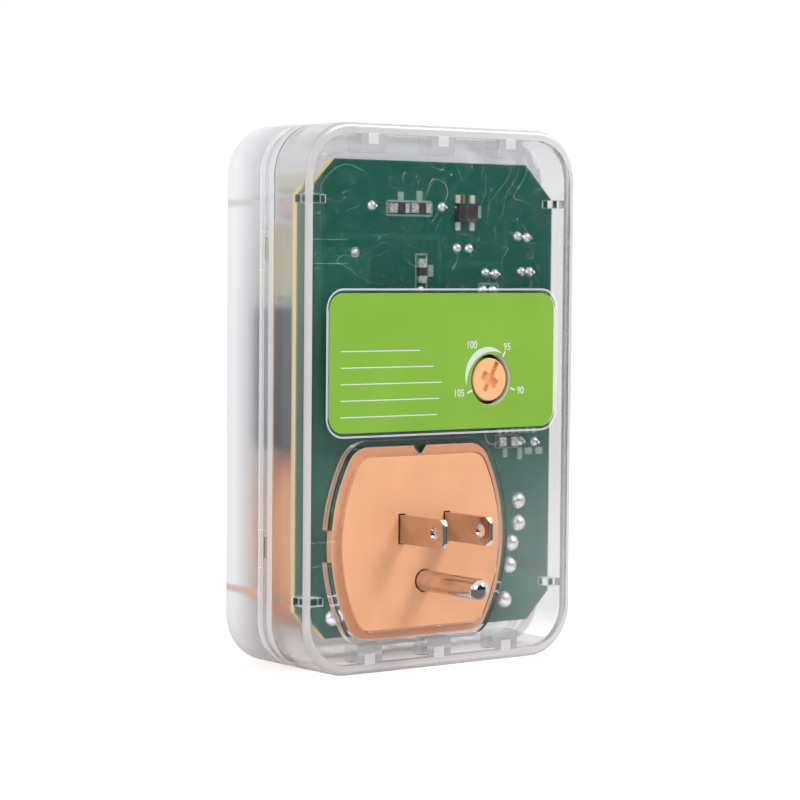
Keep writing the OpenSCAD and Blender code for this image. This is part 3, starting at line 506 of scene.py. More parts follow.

# %% [markdown]
# The front shell is finely frosted, and the more so towards its front. Its roughness blurs what lies far
# behind it, and a share of dull white gives it the milky look. Beside the seam a strip of it is clear.
# Its flat front is painted greyer than its sides, as painted shade. On the left side its two inner ribs
# show as soft bands of painted shade, the lower one tinted by painted orange light from the socket near
# it.

# %% The frosted front shell
FROST_FROM, BAND_DEEP = 17.9, 0.45
FRONT_SEAM, LIP_LINE = (16.4, FROST_FROM), (14.39, 14.75)
SIDE_DEPTH, SLACK = 3.5, 0.2
MILK_FROM, MILK_FULL, MILK = 18.5, 27.5, (0.06, 0.85)
WINDOW_MARK, WINDOW_REACH = 4.2, 0.07
STRIP_DULLNESS, LEDGE_DULLNESS = {"band": 0.5, "line": 0.3, "strip": 0.08}, 0.7
LEDGES, LEDGE_CORE, LEDGE_REACH, LEDGE_SIDE, LEDGE_END = (71.8, -14.2), 0.4, 1.1, 3.0, 1.5


def frosted_marks(y, z, depth, outside, frost):
    """How dull the strip beside the seam is: two bands and four fine lines."""
    bands = (depth < BAND_DEEP) * y.between(*FRONT_SEAM) + (depth < BAND_DEEP) * y.between(*LIP_LINE)
    heights = [catch + side * WINDOW_MARK for catch in CATCHES for side in (-1, 1)]
    lines = near_any(z, heights, WINDOW_REACH) * (1.0 - frost)
    much = STRIP_DULLNESS
    strip = outside * (1.0 - frost) * much["strip"]
    return bands * much["band"] + outside * lines * much["line"] + strip


def ledge_bands(x, y, z):
    """The soft bands of painted shade from the two inner ribs, on the left side only."""
    upper, lower = ((z - height).size() for height in LEDGES)
    soft = upper.by_less(lower).spread(LEDGE_CORE, LEDGE_REACH, 0.8, 0.0)
    return soft * (x < HOUSE_LOW.x + LEDGE_SIDE) * (y < HOUSE_DEPTH - LEDGE_END)


def frosted_plastic():
    """The front shell's material."""
    finish, place, x, y, z = new_finish("frosted_plastic")
    depth = inwards(x, z)
    frost = y > FROST_FROM
    inside = (depth > WALL - SLACK) * (y < HOUSE_DEPTH - WALL + SLACK)
    outside = ((depth < SIDE_DEPTH) * (1.0 - inside)).by_more(y > HOUSE_DEPTH - SKIN)
    glass = finish.skin(
        Base_Color=shade(250, 250, 252), Roughness=frost.spread(0.0, 1.0, 0.12, 0.32), IOR=PLASTIC_IOR,
        Transmission_Weight=1.0, Normal=finish.bump(finish.noise(place, 6.0, 2.0), 0.01 * MM, 0.3),
    )
    ledge = ledge_bands(x, y, z) * outside * frost
    # painted shade of the inner ribs: grey above, and warmed below by painted orange light from the
    # socket
    ledge_tone = finish.mix(z > 0, shade(222, 176, 154), shade(208, 204, 204))
    # painted shade: the flat front is greyer than the sides
    tone = finish.mix(depth.spread(2.0, 6.0, 0.0, 1.0), shade(246, 247, 251), shade(206, 208, 212))
    dull = finish.skin(Base_Color=finish.mix(ledge, tone, ledge_tone), Roughness=0.5)
    milk = y.spread(MILK_FROM, MILK_FULL, *MILK) - depth.spread(3.0, 8.0, 0.0, 0.2)
    milk = (outside * frost * milk).by_more(ledge * LEDGE_DULLNESS)
    body = finish.join(milk + frosted_marks(y, z, depth, outside, frost), glass, dull)
    inner = (depth > WALL + HAIR) * (y < HOUSE_DEPTH - WALL - HAIR)
    thin = veil(finish, 0.06, dull)
    return finish.done(let_lamps_in(finish, finish.join(inner, body, thin), 0.93))


FROSTED_PLASTIC = frosted_plastic()

# %% [markdown]
# The plug, the socket and the knob are one orange moulding compound. It is satin, with a very fine grain,
# and its colour drifts a little. The knob is the same, with painted shade down in its cross slot, where
# its orange is deeper.

# %% Moulded plastics
GRAIN_SCALE, GRAIN_T, GRAIN_SPAN = 3.0, 0.006, 0.06
KNOB_FACE = box_mm("adjuster_knob")[0].y


def satin(finish, place, roughness):
    """The roughness and the bump of a very fine moulded grain."""
    fine = finish.noise(place, GRAIN_SCALE, 3.0)
    return {
        "Roughness": fine.vary(roughness - GRAIN_SPAN, roughness + GRAIN_SPAN),
        "Normal": finish.bump(fine, GRAIN_T * MM, 0.6),
    }


def moulded(name, colour, darker, roughness=0.42):
    """Satin plastic with a faint drift of colour and a fine grain."""
    finish = Finish(name)
    place = finish.place()
    drift = finish.noise(place, 0.12, 3.0).spread(0.35, 0.65, 0.0, 1.0)
    colour = finish.mix(drift, darker, colour)
    return finish.done(finish.skin(Base_Color=colour, **satin(finish, place, roughness)))


def knob_plastic():
    """The knob's orange, with painted shade by how far a point lies below its face."""
    finish, place, x, y, z = new_finish("knob_plastic")
    # painted shade: the orange deepens below the knob's face, down in the cross slot
    slot = y.spread(KNOB_FACE + 0.1, KNOB_FACE + 0.8, 0.0, 1.0)
    colour = finish.mix(slot, shade(244, 184, 130), shade(236, 164, 114))
    return finish.done(finish.skin(Base_Color=colour, **satin(finish, place, 0.38)))


ORANGE = moulded("orange_plastic", shade(236, 173, 131), shade(231, 167, 126))
BLACK = moulded("black_plastic", shade(34, 34, 36), shade(26, 26, 28), 0.5)

# %% [markdown]
# Nickel plate is nearly mirror bright, with faint lines along the way that
# the strip was rolled. Solder and brass use the same recipe with other
# colours.

# %% Metals
WEAR = 0.08


def metal(name, colour, roughness, streak=(4.0, 0.4, 4.0)):
    """Bright metal with faint lines, drawn out by the streak, and duller clouds."""
    finish = Finish(name)
    place = finish.place()
    lines = finish.noise(finish.stretched(place, streak), 3.0, 4.0)
    cloud = finish.noise(place, 0.4, 2.0)
    dim = tuple(c * 0.82 for c in colour[:3]) + (1.0,)
    return finish.done(finish.skin(
        Base_Color=finish.mix(cloud.spread(0.4, 0.7, 0.0, 1.0), colour, dim),
        Metallic=1.0,
        Roughness=lines.vary(roughness - WEAR / 2, roughness + WEAR),
        Normal=finish.bump(lines, 0.003 * MM, 0.5),
    ))


NICKEL = metal("nickel_plate", shade(222, 214, 206), 0.1)
SOLDER = metal("solder", shade(236, 236, 238), 0.34, (1.0, 1.0, 1.0))
BRASS = metal("contact_brass", shade(214, 178, 104), 0.25)

# %% [markdown]
# A blade is sheared from strip, so the face at its tip is dark and torn inside a bright edge, and the
# chamfers of its two corners carry a painted highlight.

# %% The blades' cut ends
TORN_DEEP, TORN_HALF_T, TORN_HALF_W = 0.05, 0.2, 2.2
CHAMFER_FROM = 1.8


def cut_blade(node):
    """A blade's nickel, with its torn tip and a painted highlight on its chamfers."""
    low, high = box_mm(node)
    finish, place, x, y, z = new_finish("nickel_" + node)
    torn = (y < low.y + TORN_DEEP) * ((x - (low.x + high.x) / 2).size() < TORN_HALF_T)
    torn = torn * (z.size() < TORN_HALF_W)
    # painted highlight on the corner chamfers
    chamfer = (z.size() - (y - low.y)) > CHAMFER_FROM
    ridges = finish.noise(finish.stretched(place, (2.0, 1.0, 5.0)), 2.0, 2.0).spread(0.4, 0.6, 0.0, 1.0)
    cloud = finish.noise(place, 0.4, 2.0).spread(0.4, 0.7, 0.0, 1.0)
    return finish.done(finish.skin(
        Base_Color=finish.layers(
            shade(208, 196, 186), (cloud, shade(198, 186, 176)), (chamfer, shade(250, 248, 244)),
            (torn, finish.mix(ridges, shade(60, 56, 52), shade(190, 186, 180))),
        ),
        Metallic=1.0, Roughness=torn.spread(0.0, 1.0, 0.12, 0.45),
        Normal=finish.bump(finish.noise(place, 2.0, 3.0), 0.003 * MM, 0.5),
    ))


BLADES = {node: cut_blade(node) for node in ("line_blade", "neutral_blade")}

# %% [markdown]
# The board is green lacquer over copper. Where copper runs under the lacquer
# the green is lighter, and the sawn edges show the straw-coloured laminate.
# The tracks are a few bands in millimetres, with the rear face's layout.

# %% The board's finish
BOARD_LOW, BOARD_HIGH = box_mm("circuit_board")
LACQUER_T = 0.03
TRACKS = (
    # low x, low z, high x, high z of a copper band
    (-24, 64, 8, 65.2), (6.8, 50, 8, 65.2), (9, 58, 26, 59.4), (24.8, 40, 26, 59.4),
    (26, 60.6, 27.2, 70), (12, 60, 13, 67), (16, 60, 17, 67), (-27, 20, -12, 62),
    (20, -18, 37, -12), (24, -9, 36, 1), (18, 12, 38, 13.4), (-26, -20, -19, 10),
)


def in_box(x, z, box):
    """1 inside a box given by its low x, low z, high x and high z."""
    return x.between(box[0], box[2]) * z.between(box[1], box[3])


def board_lacquer():
    """The board's lacquer, its tracks and its sawn edges."""
    finish, place, x, y, z = new_finish("board_lacquer")
    copper = reduce(Value.by_more, [in_box(x, z, track) for track in TRACKS])
    weave = finish.noise(place, 1.6, 2.0)
    sawn = y.between(BOARD_LOW.y + LACQUER_T, BOARD_HIGH.y - LACQUER_T)
    return finish.done(finish.skin(
        Base_Color=finish.layers(
            shade(14, 86, 74), (copper, shade(26, 98, 82)),
            (weave.spread(0.4, 0.6, 0.0, 0.3), shade(10, 76, 64)), (sawn, shade(240, 214, 150)),
        ),
        Roughness=weave.vary(0.4, 0.5), Specular_IOR_Level=0.1,
        Normal=finish.bump(copper + weave * 0.3, LACQUER_T * MM, 0.5),
    ))


BOARD_LACQUER = board_lacquer()

# %% [markdown]
# The rating plate is green printed film, with a thin clear coat. The status
# lights are coloured resin, which is partly clear and partly cloudy.

# %% Film and lenses
def label_film():
    """Green film under a thin clear coat."""
    finish = Finish("label_film")
    place = finish.place()
    fine = finish.noise(place, 5.0, 3.0)
    drift = finish.noise(place, 0.06, 2.0).vary(0.0, 1.0)
    return finish.done(finish.skin(
        Base_Color=finish.mix(drift, shade(128, 175, 54), shade(135, 181, 62)),
        Roughness=fine.vary(0.26, 0.36), Coat_Weight=0.3, Coat_Roughness=0.1,
        Normal=finish.bump(fine, 0.004 * MM, 0.5),
    ))


def tinted_lens(name, colour):
    """Clear coloured resin, as in a status light."""
    finish = Finish(name)
    cloud = finish.noise(finish.place(), 0.5, 2.0).vary(0.3, 0.5)
    glass = finish.skin(Base_Color=colour, Roughness=0.08, IOR=1.5, Transmission_Weight=0.8)
    return finish.done(finish.join(cloud, glass, finish.skin(Base_Color=colour, Roughness=0.3)))


LABEL_FILM = label_film()

# %% [markdown]
# A can capacitor wears a dark shrunk sleeve, which has a pale stripe on its
# negative side and leaves the aluminium top bare. A resistor is lacquered and
# has colour rings along its own axis, and its leads are tinned.

# %% Sleeves and colour rings
CAN_TOP, STRIPE_HALF = 0.35, 1.3
BROWN, DARK_GREY = shade(110, 60, 30), shade(20, 20, 22)
RED, GOLD = shade(190, 40, 30), shade(190, 150, 60)
# where each ring starts from the resistor's middle, and its colour
AXIAL_RINGS = ((-1.7, BROWN), (-0.6, DARK_GREY), (0.4, RED), (1.5, GOLD))
DROPPER_RINGS = ((-4.0, RED), (-2.0, BROWN), (0.0, DARK_GREY), (3.0, GOLD))


def can_sleeve(node):
    """Dark sleeve with a stripe, and aluminium on the top of the can."""
    low, high = box_mm(node)
    finish, place, x, y, z = new_finish("sleeve_" + node)
    top = y > high.y - CAN_TOP
    stripe = (x > (low.x + high.x) / 2) * ((z - (low.z + high.z) / 2).size() < STRIPE_HALF)
    scuff = finish.noise(place, 1.2, 3.0)
    stripe_tone, bare_tone = shade(176, 182, 190), shade(206, 206, 208)
    return finish.done(finish.skin(
        Base_Color=finish.layers(shade(24, 30, 52), (stripe, stripe_tone), (top, bare_tone)),
        Metallic=top, Roughness=scuff.vary(0.25, 0.4),
    ))


def banded(node, body, axis, rings, ring_w, half_body):
    """A resistor's lacquer with rings along an axis, and its tinned leads."""
    low, high = box_mm(node)
    finish = Finish("bands_" + node)
    place = finish.place()
    along = finish.axes(place)[axis] - (low[axis] + high[axis]) / 2
    coats = [(along.between(start, start + ring_w), colour) for start, colour in rings]
    lead = along.size() > half_body
    cloud = finish.noise(place, 1.0, 2.0)
    return finish.done(finish.skin(
        Base_Color=finish.layers(body, *coats, (lead, shade(196, 196, 196))), Metallic=lead,
        Roughness=cloud.vary(0.3, 0.45),
    ))


X, Z = 0, 2
AXIAL = banded("axial_resistors", shade(206, 182, 140), X, AXIAL_RINGS, ring_w=0.6, half_body=2.75)
DROPPER = banded("dropper_resistor", shade(196, 172, 136), Z, DROPPER_RINGS, ring_w=1.0, half_body=5.6)

# %% [markdown]
# The small chips on the board's rear face are dark ceramic or black moulding,
# and their ends or flat legs are tinned. Part of each piece is metal, so a
# mask feeds the colour and the metallic share alike.

# %% Chips with tinned ends
CHIP_BODIES = (
    # low x, low z, high x, high z of the dark middle of each chip resistor
    (-5.1, 69, -2.95, 73), (0.75, 69, 2.85, 73), (26.8, 16, 28.25, 20), (0.5, 55.95, 4.5, 57.85),
)
TIN_METALLIC, LEG_REACH = 0.75, 1.85


def chip_ends():
    """Dark ceramic with tinned ends, as on a chip resistor."""
    finish, place, x, y, z = new_finish("chip_ends")
    body = reduce(Value.__add__, [in_box(x, z, box) for box in CHIP_BODIES])
    cloud = finish.noise(place, 1.4, 2.0)
    tin = finish.mix(cloud.spread(0.4, 0.6, 0.0, 1.0), shade(236, 236, 234), shade(178, 178, 176))
    return finish.done(finish.skin(
        Base_Color=finish.mix(body, tin, shade(40, 41, 44)),
        Metallic=TIN_METALLIC - body * TIN_METALLIC,
        Roughness=cloud.vary(0.3, 0.45),
    ))


def leaded_chip(node):
    """Black moulding whose flat legs above and below are tinned."""
    low, high = box_mm(node)
    finish, place, x, y, z = new_finish("legs_" + node)
    legs = 1.0 - z.between(low.z + LEG_REACH, high.z - LEG_REACH)
    cloud = finish.noise(place, 1.4, 2.0)
    return finish.done(finish.skin(
        Base_Color=finish.mix(legs, shade(34, 36, 38), shade(226, 226, 224)),
        Metallic=legs * TIN_METALLIC, Roughness=cloud.vary(0.35, 0.5),
    ))


CHIP_ENDS = chip_ends()

# %% [markdown]
# Now the pieces. Real mouldings and stampings have no sharp edges, and it is the narrow rounding that
# catches the light. Every piece is shaded smooth across its roundings, and weighted normals keep its wide
# faces optically flat. Then it gets its finish and the body that it rides on.

# %% Helpers for every piece
SMOOTH_BELOW, ROUND_ABOVE = math.radians(35), math.radians(30)


def only(piece):
    """Makes this piece the one that operators act on."""
    if bpy.context.mode != "OBJECT":
        bpy.ops.object.mode_set(mode="OBJECT")
    bpy.ops.object.select_all(action="DESELECT")
    piece.select_set(True)
    bpy.context.view_layer.objects.active = piece


def round_edges(piece, width, segments=2):
    """Rounds every edge where two faces turn sharply."""
    only(piece)
    bevel = piece.modifiers.new("rounding", "BEVEL")
    bevel.width = width
    bevel.segments = segments
    bevel.limit_method = "ANGLE"
    bevel.angle_limit = ROUND_ABOVE
    bpy.ops.object.modifier_apply(modifier=bevel.name)


def finish_piece(piece, material, body=HOUSING):
    """Gives a piece its finish, its smooth shading and the body it rides on."""
    only(piece)
    bpy.ops.object.shade_smooth_by_angle(angle=SMOOTH_BELOW)
    even = piece.modifiers.new("even_normals", "WEIGHTED_NORMAL")
    even.keep_sharp = True
    even.weight = 100
    bpy.ops.object.modifier_apply(modifier=even.name)
    piece.data.materials.clear()
    piece.data.materials.append(material)
    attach(piece, body)
    return piece


print("edges are rounded above", round(math.degrees(ROUND_ABOVE)), "degrees")

# %% [markdown]
# A packed mesh must stay as it is, so each piece that shows gets a merged copy. The copy's flat
# triangles are dissolved into whole faces, and a Bevel modifier rounds its edges. The copy then stands
# for the packed node.

# %% Rounded copies of the packed pieces
DRESSED = (
    # node, rounding in mm, finish and slot
    ("rear_shell", 0.12, CLEAR_PLASTIC, "clear_plastic"),
    ("front_shell", 0.12, FROSTED_PLASTIC, "frosted_plastic"),
    ("plug_base", 0.15, ORANGE, "orange_plastic"),
    ("socket_face", 0.2, ORANGE, "orange_plastic"),
    ("line_blade", 0.06, BLADES["line_blade"], "nickel_plate"),
    ("neutral_blade", 0.06, BLADES["neutral_blade"], "nickel_plate"),
    ("ground_pin", 0.08, NICKEL, "nickel_plate"),
    ("adjuster_knob", 0.12, knob_plastic(), "orange_plastic"),
    ("label_plate", 0.03, LABEL_FILM, "label_film"),
    ("circuit_board", 0.04, BOARD_LACQUER, "board_laminate"),
)


def rounded_copy(node, edge, material, body):
    """A copy of a packed node with rounded edges, standing for it."""
    piece = bpy.data.objects.new(node + "_dressed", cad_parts[node].data.copy())
    bpy.context.scene.collection.objects.link(piece)
    only(piece)
    bpy.ops.object.mode_set(mode="EDIT")
    bpy.ops.mesh.select_all(action="SELECT")
    bpy.ops.mesh.remove_doubles(threshold=0.001 * MM)
    bpy.ops.mesh.dissolve_limited(angle_limit=math.radians(0.5), delimit=set())
    bpy.ops.object.mode_set(mode="OBJECT")
    round_edges(piece, edge)
    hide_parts(node)
    return finish_piece(piece, material, body)


for node, edge, material, slot in DRESSED:
    body = KNOB if node == "adjuster_knob" else HOUSING
    piece = rounded_copy(node, edge * MM, material, body)
    print(piece.name, "faces:", len(piece.data.polygons))

# %% [markdown]
# Pieces that only show through the shells keep their packed meshes, and take
# their finish through their own material slots.

# %% Finishes of the inner pieces
MOULDED = (
    # node, name of the finish, colour, how much darker it drifts, roughness
    ("trimmer_rotor", "ivory_plastic", (232, 224, 200), (10, 10, 10), 0.42),
    ("relay_case", "relay_plastic", (46, 48, 58), (6, 6, 6), 0.4),
    ("socket_body", "socket_compound", (250, 182, 136), (6, 8, 8), 0.5),
    ("film_capacitor", "film_case", (186, 184, 156), (8, 8, 8), 0.5),
    ("snubber_capacitor", "snubber_case", (206, 203, 184), (8, 8, 8), 0.5),
    ("input_varistor", "pink_coating", (210, 186, 180), (6, 8, 8), 0.45),
    ("output_varistor", "blue_coating", (58, 98, 150), (8, 10, 10), 0.45),
    ("led_spacers", "white_plastic", (238, 238, 234), (8, 8, 8), 0.5),
)
LENSES = {"red": (222, 60, 50), "yellow": (240, 200, 60), "green": (90, 200, 90)}
INNER = {
    "axial_resistors": AXIAL, "dropper_resistor": DROPPER, "chip_resistors": CHIP_ENDS,
    "regulator_chip": leaded_chip("regulator_chip"), "solder_joints": SOLDER,
}
for node in ("trimmer_base", "trimmer_cover", "relay_base", "control_chip",
             "driver_transistor", "rectifier_diodes"):
    INNER[node] = BLACK
for node in ("line_contact", "neutral_contact", "ground_contact"):
    INNER[node] = BRASS
for node in ("filter_capacitor", "timing_capacitor"):
    INNER[node] = can_sleeve(node)
for tint, colour in LENSES.items():
    INNER["led_" + tint] = tinted_lens(tint + "_lens", shade(*colour))
for node, name, colour, drop, roughness in MOULDED:
    darker = [level - less for level, less in zip(colour, drop)]
    INNER[node] = moulded(name, shade(*colour), shade(*darker), roughness)
for name, material in INNER.items():
    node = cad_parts[name]
    node.data.materials.clear()
    node.data.materials.append(material)
print("inner pieces finished:", len(INNER))

# %% [markdown]
# The label carries a dial in pale ink: a crescent round the knob, three ticks
# and four plain numbers. Ink has no thickness to speak of, so each mark is a
# thin solid that stands 0.02 mm proud of the film. The crescent is one disc
# cut by a larger one, just as a pair of compasses would draw it.

# %% The dial's crescent
FILM_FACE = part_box("label_plate")[0].y
rotor_low, rotor_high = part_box("trimmer_rotor")
DIAL = Vector(((rotor_low.x + rotor_high.x) / 2, FILM_FACE, (rotor_low.z + rotor_high.z) / 2))
INK_T = 0.04 * MM
UPRIGHT = (math.radians(90), 0, 0)
CRESCENT_OUTER, CRESCENT_INNER = (-1.03, 0.88, 6.51), (0.46, -1.3, 7.64)


def speckled(name, colours, grain, soft, roughness):
    """Print or ink, whose colour and roughness follow one fine noise."""
    finish = Finish(name)
    fine = finish.noise(finish.place(), *grain)
    return finish.done(finish.skin(
        Base_Color=finish.mix(fine.spread(*soft, 0.0, 1.0), *colours), Roughness=fine.vary(*roughness)
    ))


def settle(piece, name):
    """Names a new piece and moves its place and turn into its mesh."""
    piece.name = piece.data.name = name
    only(piece)
    bpy.ops.object.transform_apply(location=True, rotation=True, scale=True)
    return piece


def cut_with(piece, tool):
    """Takes the tool's volume out of the piece and removes the tool."""
    only(piece)
    cutter = piece.modifiers.new("cut", "BOOLEAN")
    cutter.operation = "DIFFERENCE"
    cutter.solver = "EXACT"
    cutter.object = tool
    bpy.ops.object.modifier_apply(modifier=cutter.name)
    bpy.data.objects.remove(tool)
    return piece


def disc(centre, radius, depth, vertices=128):
    """An upright disc, whose axis is the object's Y."""
    bpy.ops.mesh.primitive_cylinder_add(
        vertices=vertices, radius=radius, depth=depth, location=centre, rotation=UPRIGHT
    )
    return bpy.context.object


def dial_crescent():
    """What is left of the outer disc when the inner one is taken out of it."""
    x, z, radius = CRESCENT_OUTER
    crescent = settle(disc(DIAL + Vector((x, 0, z)) * MM, radius * MM, INK_T), "dial_crescent")
    x, z, radius = CRESCENT_INNER
    hole = disc(DIAL + Vector((x, 0, z)) * MM, radius * MM, 4 * INK_T, vertices=192)
    return finish_piece(cut_with(crescent, hole), INK)


INK = speckled("pale_ink", colours=(shade(206, 216, 206), shade(216, 224, 216)), grain=(8.0, 2.0),
               soft=(0.3, 0.7), roughness=(0.3, 0.4))
print("crescent faces:", len(dial_crescent().data.polygons))

# %% [markdown]
# Ticks, blank lines and the board's print are all thin bars. One bar is
# modelled, a unit long each way; the others copy its mesh, take their own
# size, place and turn, and have their corners rounded after that, because a
# rounding made before would be stretched with the bar.

# %% The first bar and the dial's ticks
TICK_FROM, TICK_TO, TICK_W, BAR_CORNER = 5.95 * MM, 7.5 * MM, 0.42 * MM, 0.2
TICKS = {"dial_tick_105": 203, "dial_tick_95": 57, "dial_tick_90": -20}
bpy.ops.mesh.primitive_cube_add(size=1)
FIRST_BAR = settle(bpy.context.object, "first_bar")


def copy_of(first, name, place, sizes=(1, 1, 1), turn=0.0):
    """A copy with its own mesh, at its own size, turned about its middle."""
    piece = bpy.data.objects.new(name, first.data.copy())
    bpy.context.scene.collection.objects.link(piece)
    piece.location = place
    piece.rotation_euler = (0, -turn, 0)
    piece.scale = sizes
    return settle(piece, name)


def ink_bar(name, centre, length, width, turn=0.0):
    """A bar of ink on the label."""
    piece = copy_of(FIRST_BAR, name, centre, (length, INK_T, width), turn)
    round_edges(piece, width * BAR_CORNER)
    return finish_piece(piece, INK)


for name, angle in TICKS.items():
    turn = math.radians(angle)
    out = Vector((math.cos(turn), 0, math.sin(turn)))
    ink_bar(name, DIAL + out * (TICK_FROM + TICK_TO) / 2, TICK_TO - TICK_FROM, TICK_W, turn)
print("ticks on the dial:", len(TICKS))

# %% [markdown]
# The numbers are text objects, made thin with an extrusion and turned into
# meshes. They are drawn narrow, as on most instrument dials.

# %% The dial's numbers
NUMBER_SIZE, NUMBER_NARROW, NUMBER_BOLD = 2.35 * MM, 0.9, 0.03 * MM
NUMBERS = {"105": (-9.3, -2.95), "100": (-5.75, 7.87), "95": (4.62, 7.33), "90": (8.62, -2.7)}
for word, (dx, dz) in NUMBERS.items():
    bpy.ops.object.text_add(location=DIAL + Vector((dx, 0, dz)) * MM, rotation=UPRIGHT)
    number = bpy.context.object
    number.data.body = word
    number.data.size = NUMBER_SIZE
    number.data.extrude = INK_T / 2
    number.data.offset = NUMBER_BOLD
    number.data.align_x = number.data.align_y = "CENTER"
    number.scale = (NUMBER_NARROW, 1, 1)
    only(number)
    bpy.ops.object.convert(target="MESH")
    finish_piece(settle(bpy.context.object, "dial_number_" + word), INK)
print("numbers on the dial:", len(NUMBERS))

# %% [markdown]
# The rest of the label stays blank, like a rating plate before it is filled
# in: five pale rules mark its lines.

# %% The blank lines of the rating plate
RULE_LEFT, RULE_W = -23.4, 0.24
RULES = ((39.5, -1.7), (35.9, 2.2), (32.3, 4.6), (28.7, 3.8), (25.1, 3.3))
for n, (height, right) in enumerate(RULES):
    centre = Vector(((RULE_LEFT + right) / 2 * MM, FILM_FACE, height * MM))
    ink_bar(f"label_rule_{n + 1}", centre, (right - RULE_LEFT) * MM, RULE_W * MM)
print("blank lines:", len(RULES))

# %% [markdown]
# The board's rear face shows white print: frames round its small chips and
# plain blocks beside them. Each mark is a copy of the first bar, and the
# copies become one piece.

# %% The board's print
PRINT_T, PRINT_ROUND = 0.03 * MM, 0.01 * MM
BOARD_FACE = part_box("circuit_board")[0].y
ROW_FROM, ROW_PITCH, ROW_W, ROW_LOW, ROW_HIGH = 24.8, 2.05, 1.4, 19.75, 20.9
ROW = [(ROW_FROM + ROW_PITCH * n, ROW_LOW, ROW_FROM + ROW_W + ROW_PITCH * n, ROW_HIGH) for n in range(6)]
BLOCKS = [
    # low x, low z, high x, high z
    (-4.5, 72.7, -2.85, 74.6), (0.75, 72.7, 2.4, 74.9), (18.0, 69.1, 19.35, 71.8),
    (4.2, 55.8, 5.7, 58.4), (26.5, 14.3, 27.9, 16.6), (30.9, 13.7, 32.3, 16.4),
    (33.1, 14.75, 35.3, 16.3), (36.3, 14.75, 38.4, 16.3),
] + ROW
OUTLINES = (
    # low x, low z, high x, high z and the width of the line
    (-7.75, 69.2, 5.3, 72.75, 0.45), (0.55, 52.75, 3.95, 60.95, 0.35),
    (18.7, 51.2, 24.7, 54.4, 0.35), (24.1, 16.4, 31.1, 19.55, 0.3),
)


def frame_bars(x0, z0, x1, z1, width):
    """The four bars of a rectangular outline."""
    return [(x0, z0, x1, z0 + width), (x0, z1 - width, x1, z1),
            (x0, z0, x0 + width, z1), (x1 - width, z0, x1, z1)]


def board_print():
    """All blocks and frames, joined into one piece."""
    pieces = []
    for x0, z0, x1, z1 in BLOCKS + [bar for outline in OUTLINES for bar in frame_bars(*outline)]:
        centre = ((x0 + x1) / 2 * MM, BOARD_FACE, (z0 + z1) / 2 * MM)
        pieces.append(copy_of(FIRST_BAR, "print", centre, ((x1 - x0) * MM, PRINT_T, (z1 - z0) * MM)))
    print("bars of print:", len(pieces))
    only(pieces[0])
    for piece in pieces:
        piece.select_set(True)
    bpy.ops.object.join()
    joined = settle(bpy.context.object, "board_print")
    round_edges(joined, PRINT_ROUND, 1)
    return joined


SILK = speckled("silk_print", colours=(shade(150, 168, 160), shade(118, 144, 134)), grain=(2.5, 3.0),
                soft=(0.35, 0.65), roughness=(0.5, 0.6))
finish_piece(board_print(), SILK)

# %% [markdown]
# A soldered lead is cut off a little beyond its joint. One lead is modelled
# with a snipped, slanted end, and copied to each joint.

# %% Lead ends
LEADS = ((-11.5, 71.4), (8.1, 71.4), (30.4, 65.1), (33.1, 64.9), (31.6, 57.0), (34.05, 57.0),
         (20.9, 56.6), (23.7, 56.5), (31.7, 17.9), (36.0, 17.6))
LEAD_D, LEAD_LONG, SNIP, SNIP_SLANT = 0.62, 1.75, 0.35, (0.2, -1, 0.5)


def first_lead():
    """A lead behind the middle of the plug, with its end cut off at a slant."""
    middle = (0, BOARD_FACE - LEAD_LONG / 2 * MM, 0)
    lead = settle(disc(middle, LEAD_D / 2 * MM, LEAD_LONG * MM, vertices=20), "first_lead")
    bpy.ops.object.mode_set(mode="EDIT")
    bpy.ops.mesh.select_all(action="SELECT")
    snip = (0, BOARD_FACE - (LEAD_LONG - LEAD_D * SNIP) * MM, 0)
    bpy.ops.mesh.bisect(plane_co=snip, plane_no=SNIP_SLANT, use_fill=True, clear_outer=True)
    bpy.ops.object.mode_set(mode="OBJECT")
    return lead


FIRST_LEAD = first_lead()
for n, (x, z) in enumerate(LEADS):
    lead = copy_of(FIRST_LEAD, f"lead_end_{n + 1}", (x * MM, 0, z * MM))
    finish_piece(lead, SOLDER)
bpy.data.objects.remove(FIRST_LEAD)
print("lead ends:", len(LEADS))

# %% [markdown]
# Between the upper legs of the small chip a bare copper land shows, and to
# the left of the chips a plated hole has a ring of tin round it. The land is
# one more bar, and the ring is a disc cut by a smaller one.

# %% Copper land and plated hole
PLATED_T = 0.06 * MM
HOLE_PLACE, RING_OUTER, RING_INNER = (-16.17, 61.1), 1.15, 0.85
LAND_PLACE, LAND_SIZE, LAND_ROUND = (14.3, 73.4), (0.8, 2.0), 0.02


def on_board(place):
    """A point of the board's rear face, from its x and z in millimetres."""
    return (place[0] * MM, BOARD_FACE, place[1] * MM)


ring = settle(disc(on_board(HOLE_PLACE), RING_OUTER * MM, PLATED_T, vertices=48), "plated_hole")
cut_with(ring, disc(on_board(HOLE_PLACE), RING_INNER * MM, 0.4 * MM, vertices=48))
finish_piece(ring, SOLDER)
land_sizes = (LAND_SIZE[0] * MM, PLATED_T, LAND_SIZE[1] * MM)
land = copy_of(FIRST_BAR, "copper_land", on_board(LAND_PLACE), land_sizes)
round_edges(land, LAND_ROUND * MM)
finish_piece(land, metal("bare_copper", shade(206, 168, 108), 0.3))
bpy.data.objects.remove(FIRST_BAR)
print("ring and land faces:", len(ring.data.polygons), len(land.data.polygons))

# %% [markdown]
# The camera stands where the photograph was taken from, and its lens gives
# the same perspective. Both were worked out from the plug, whose sizes are
# standard, and from the straight edges of the housing.

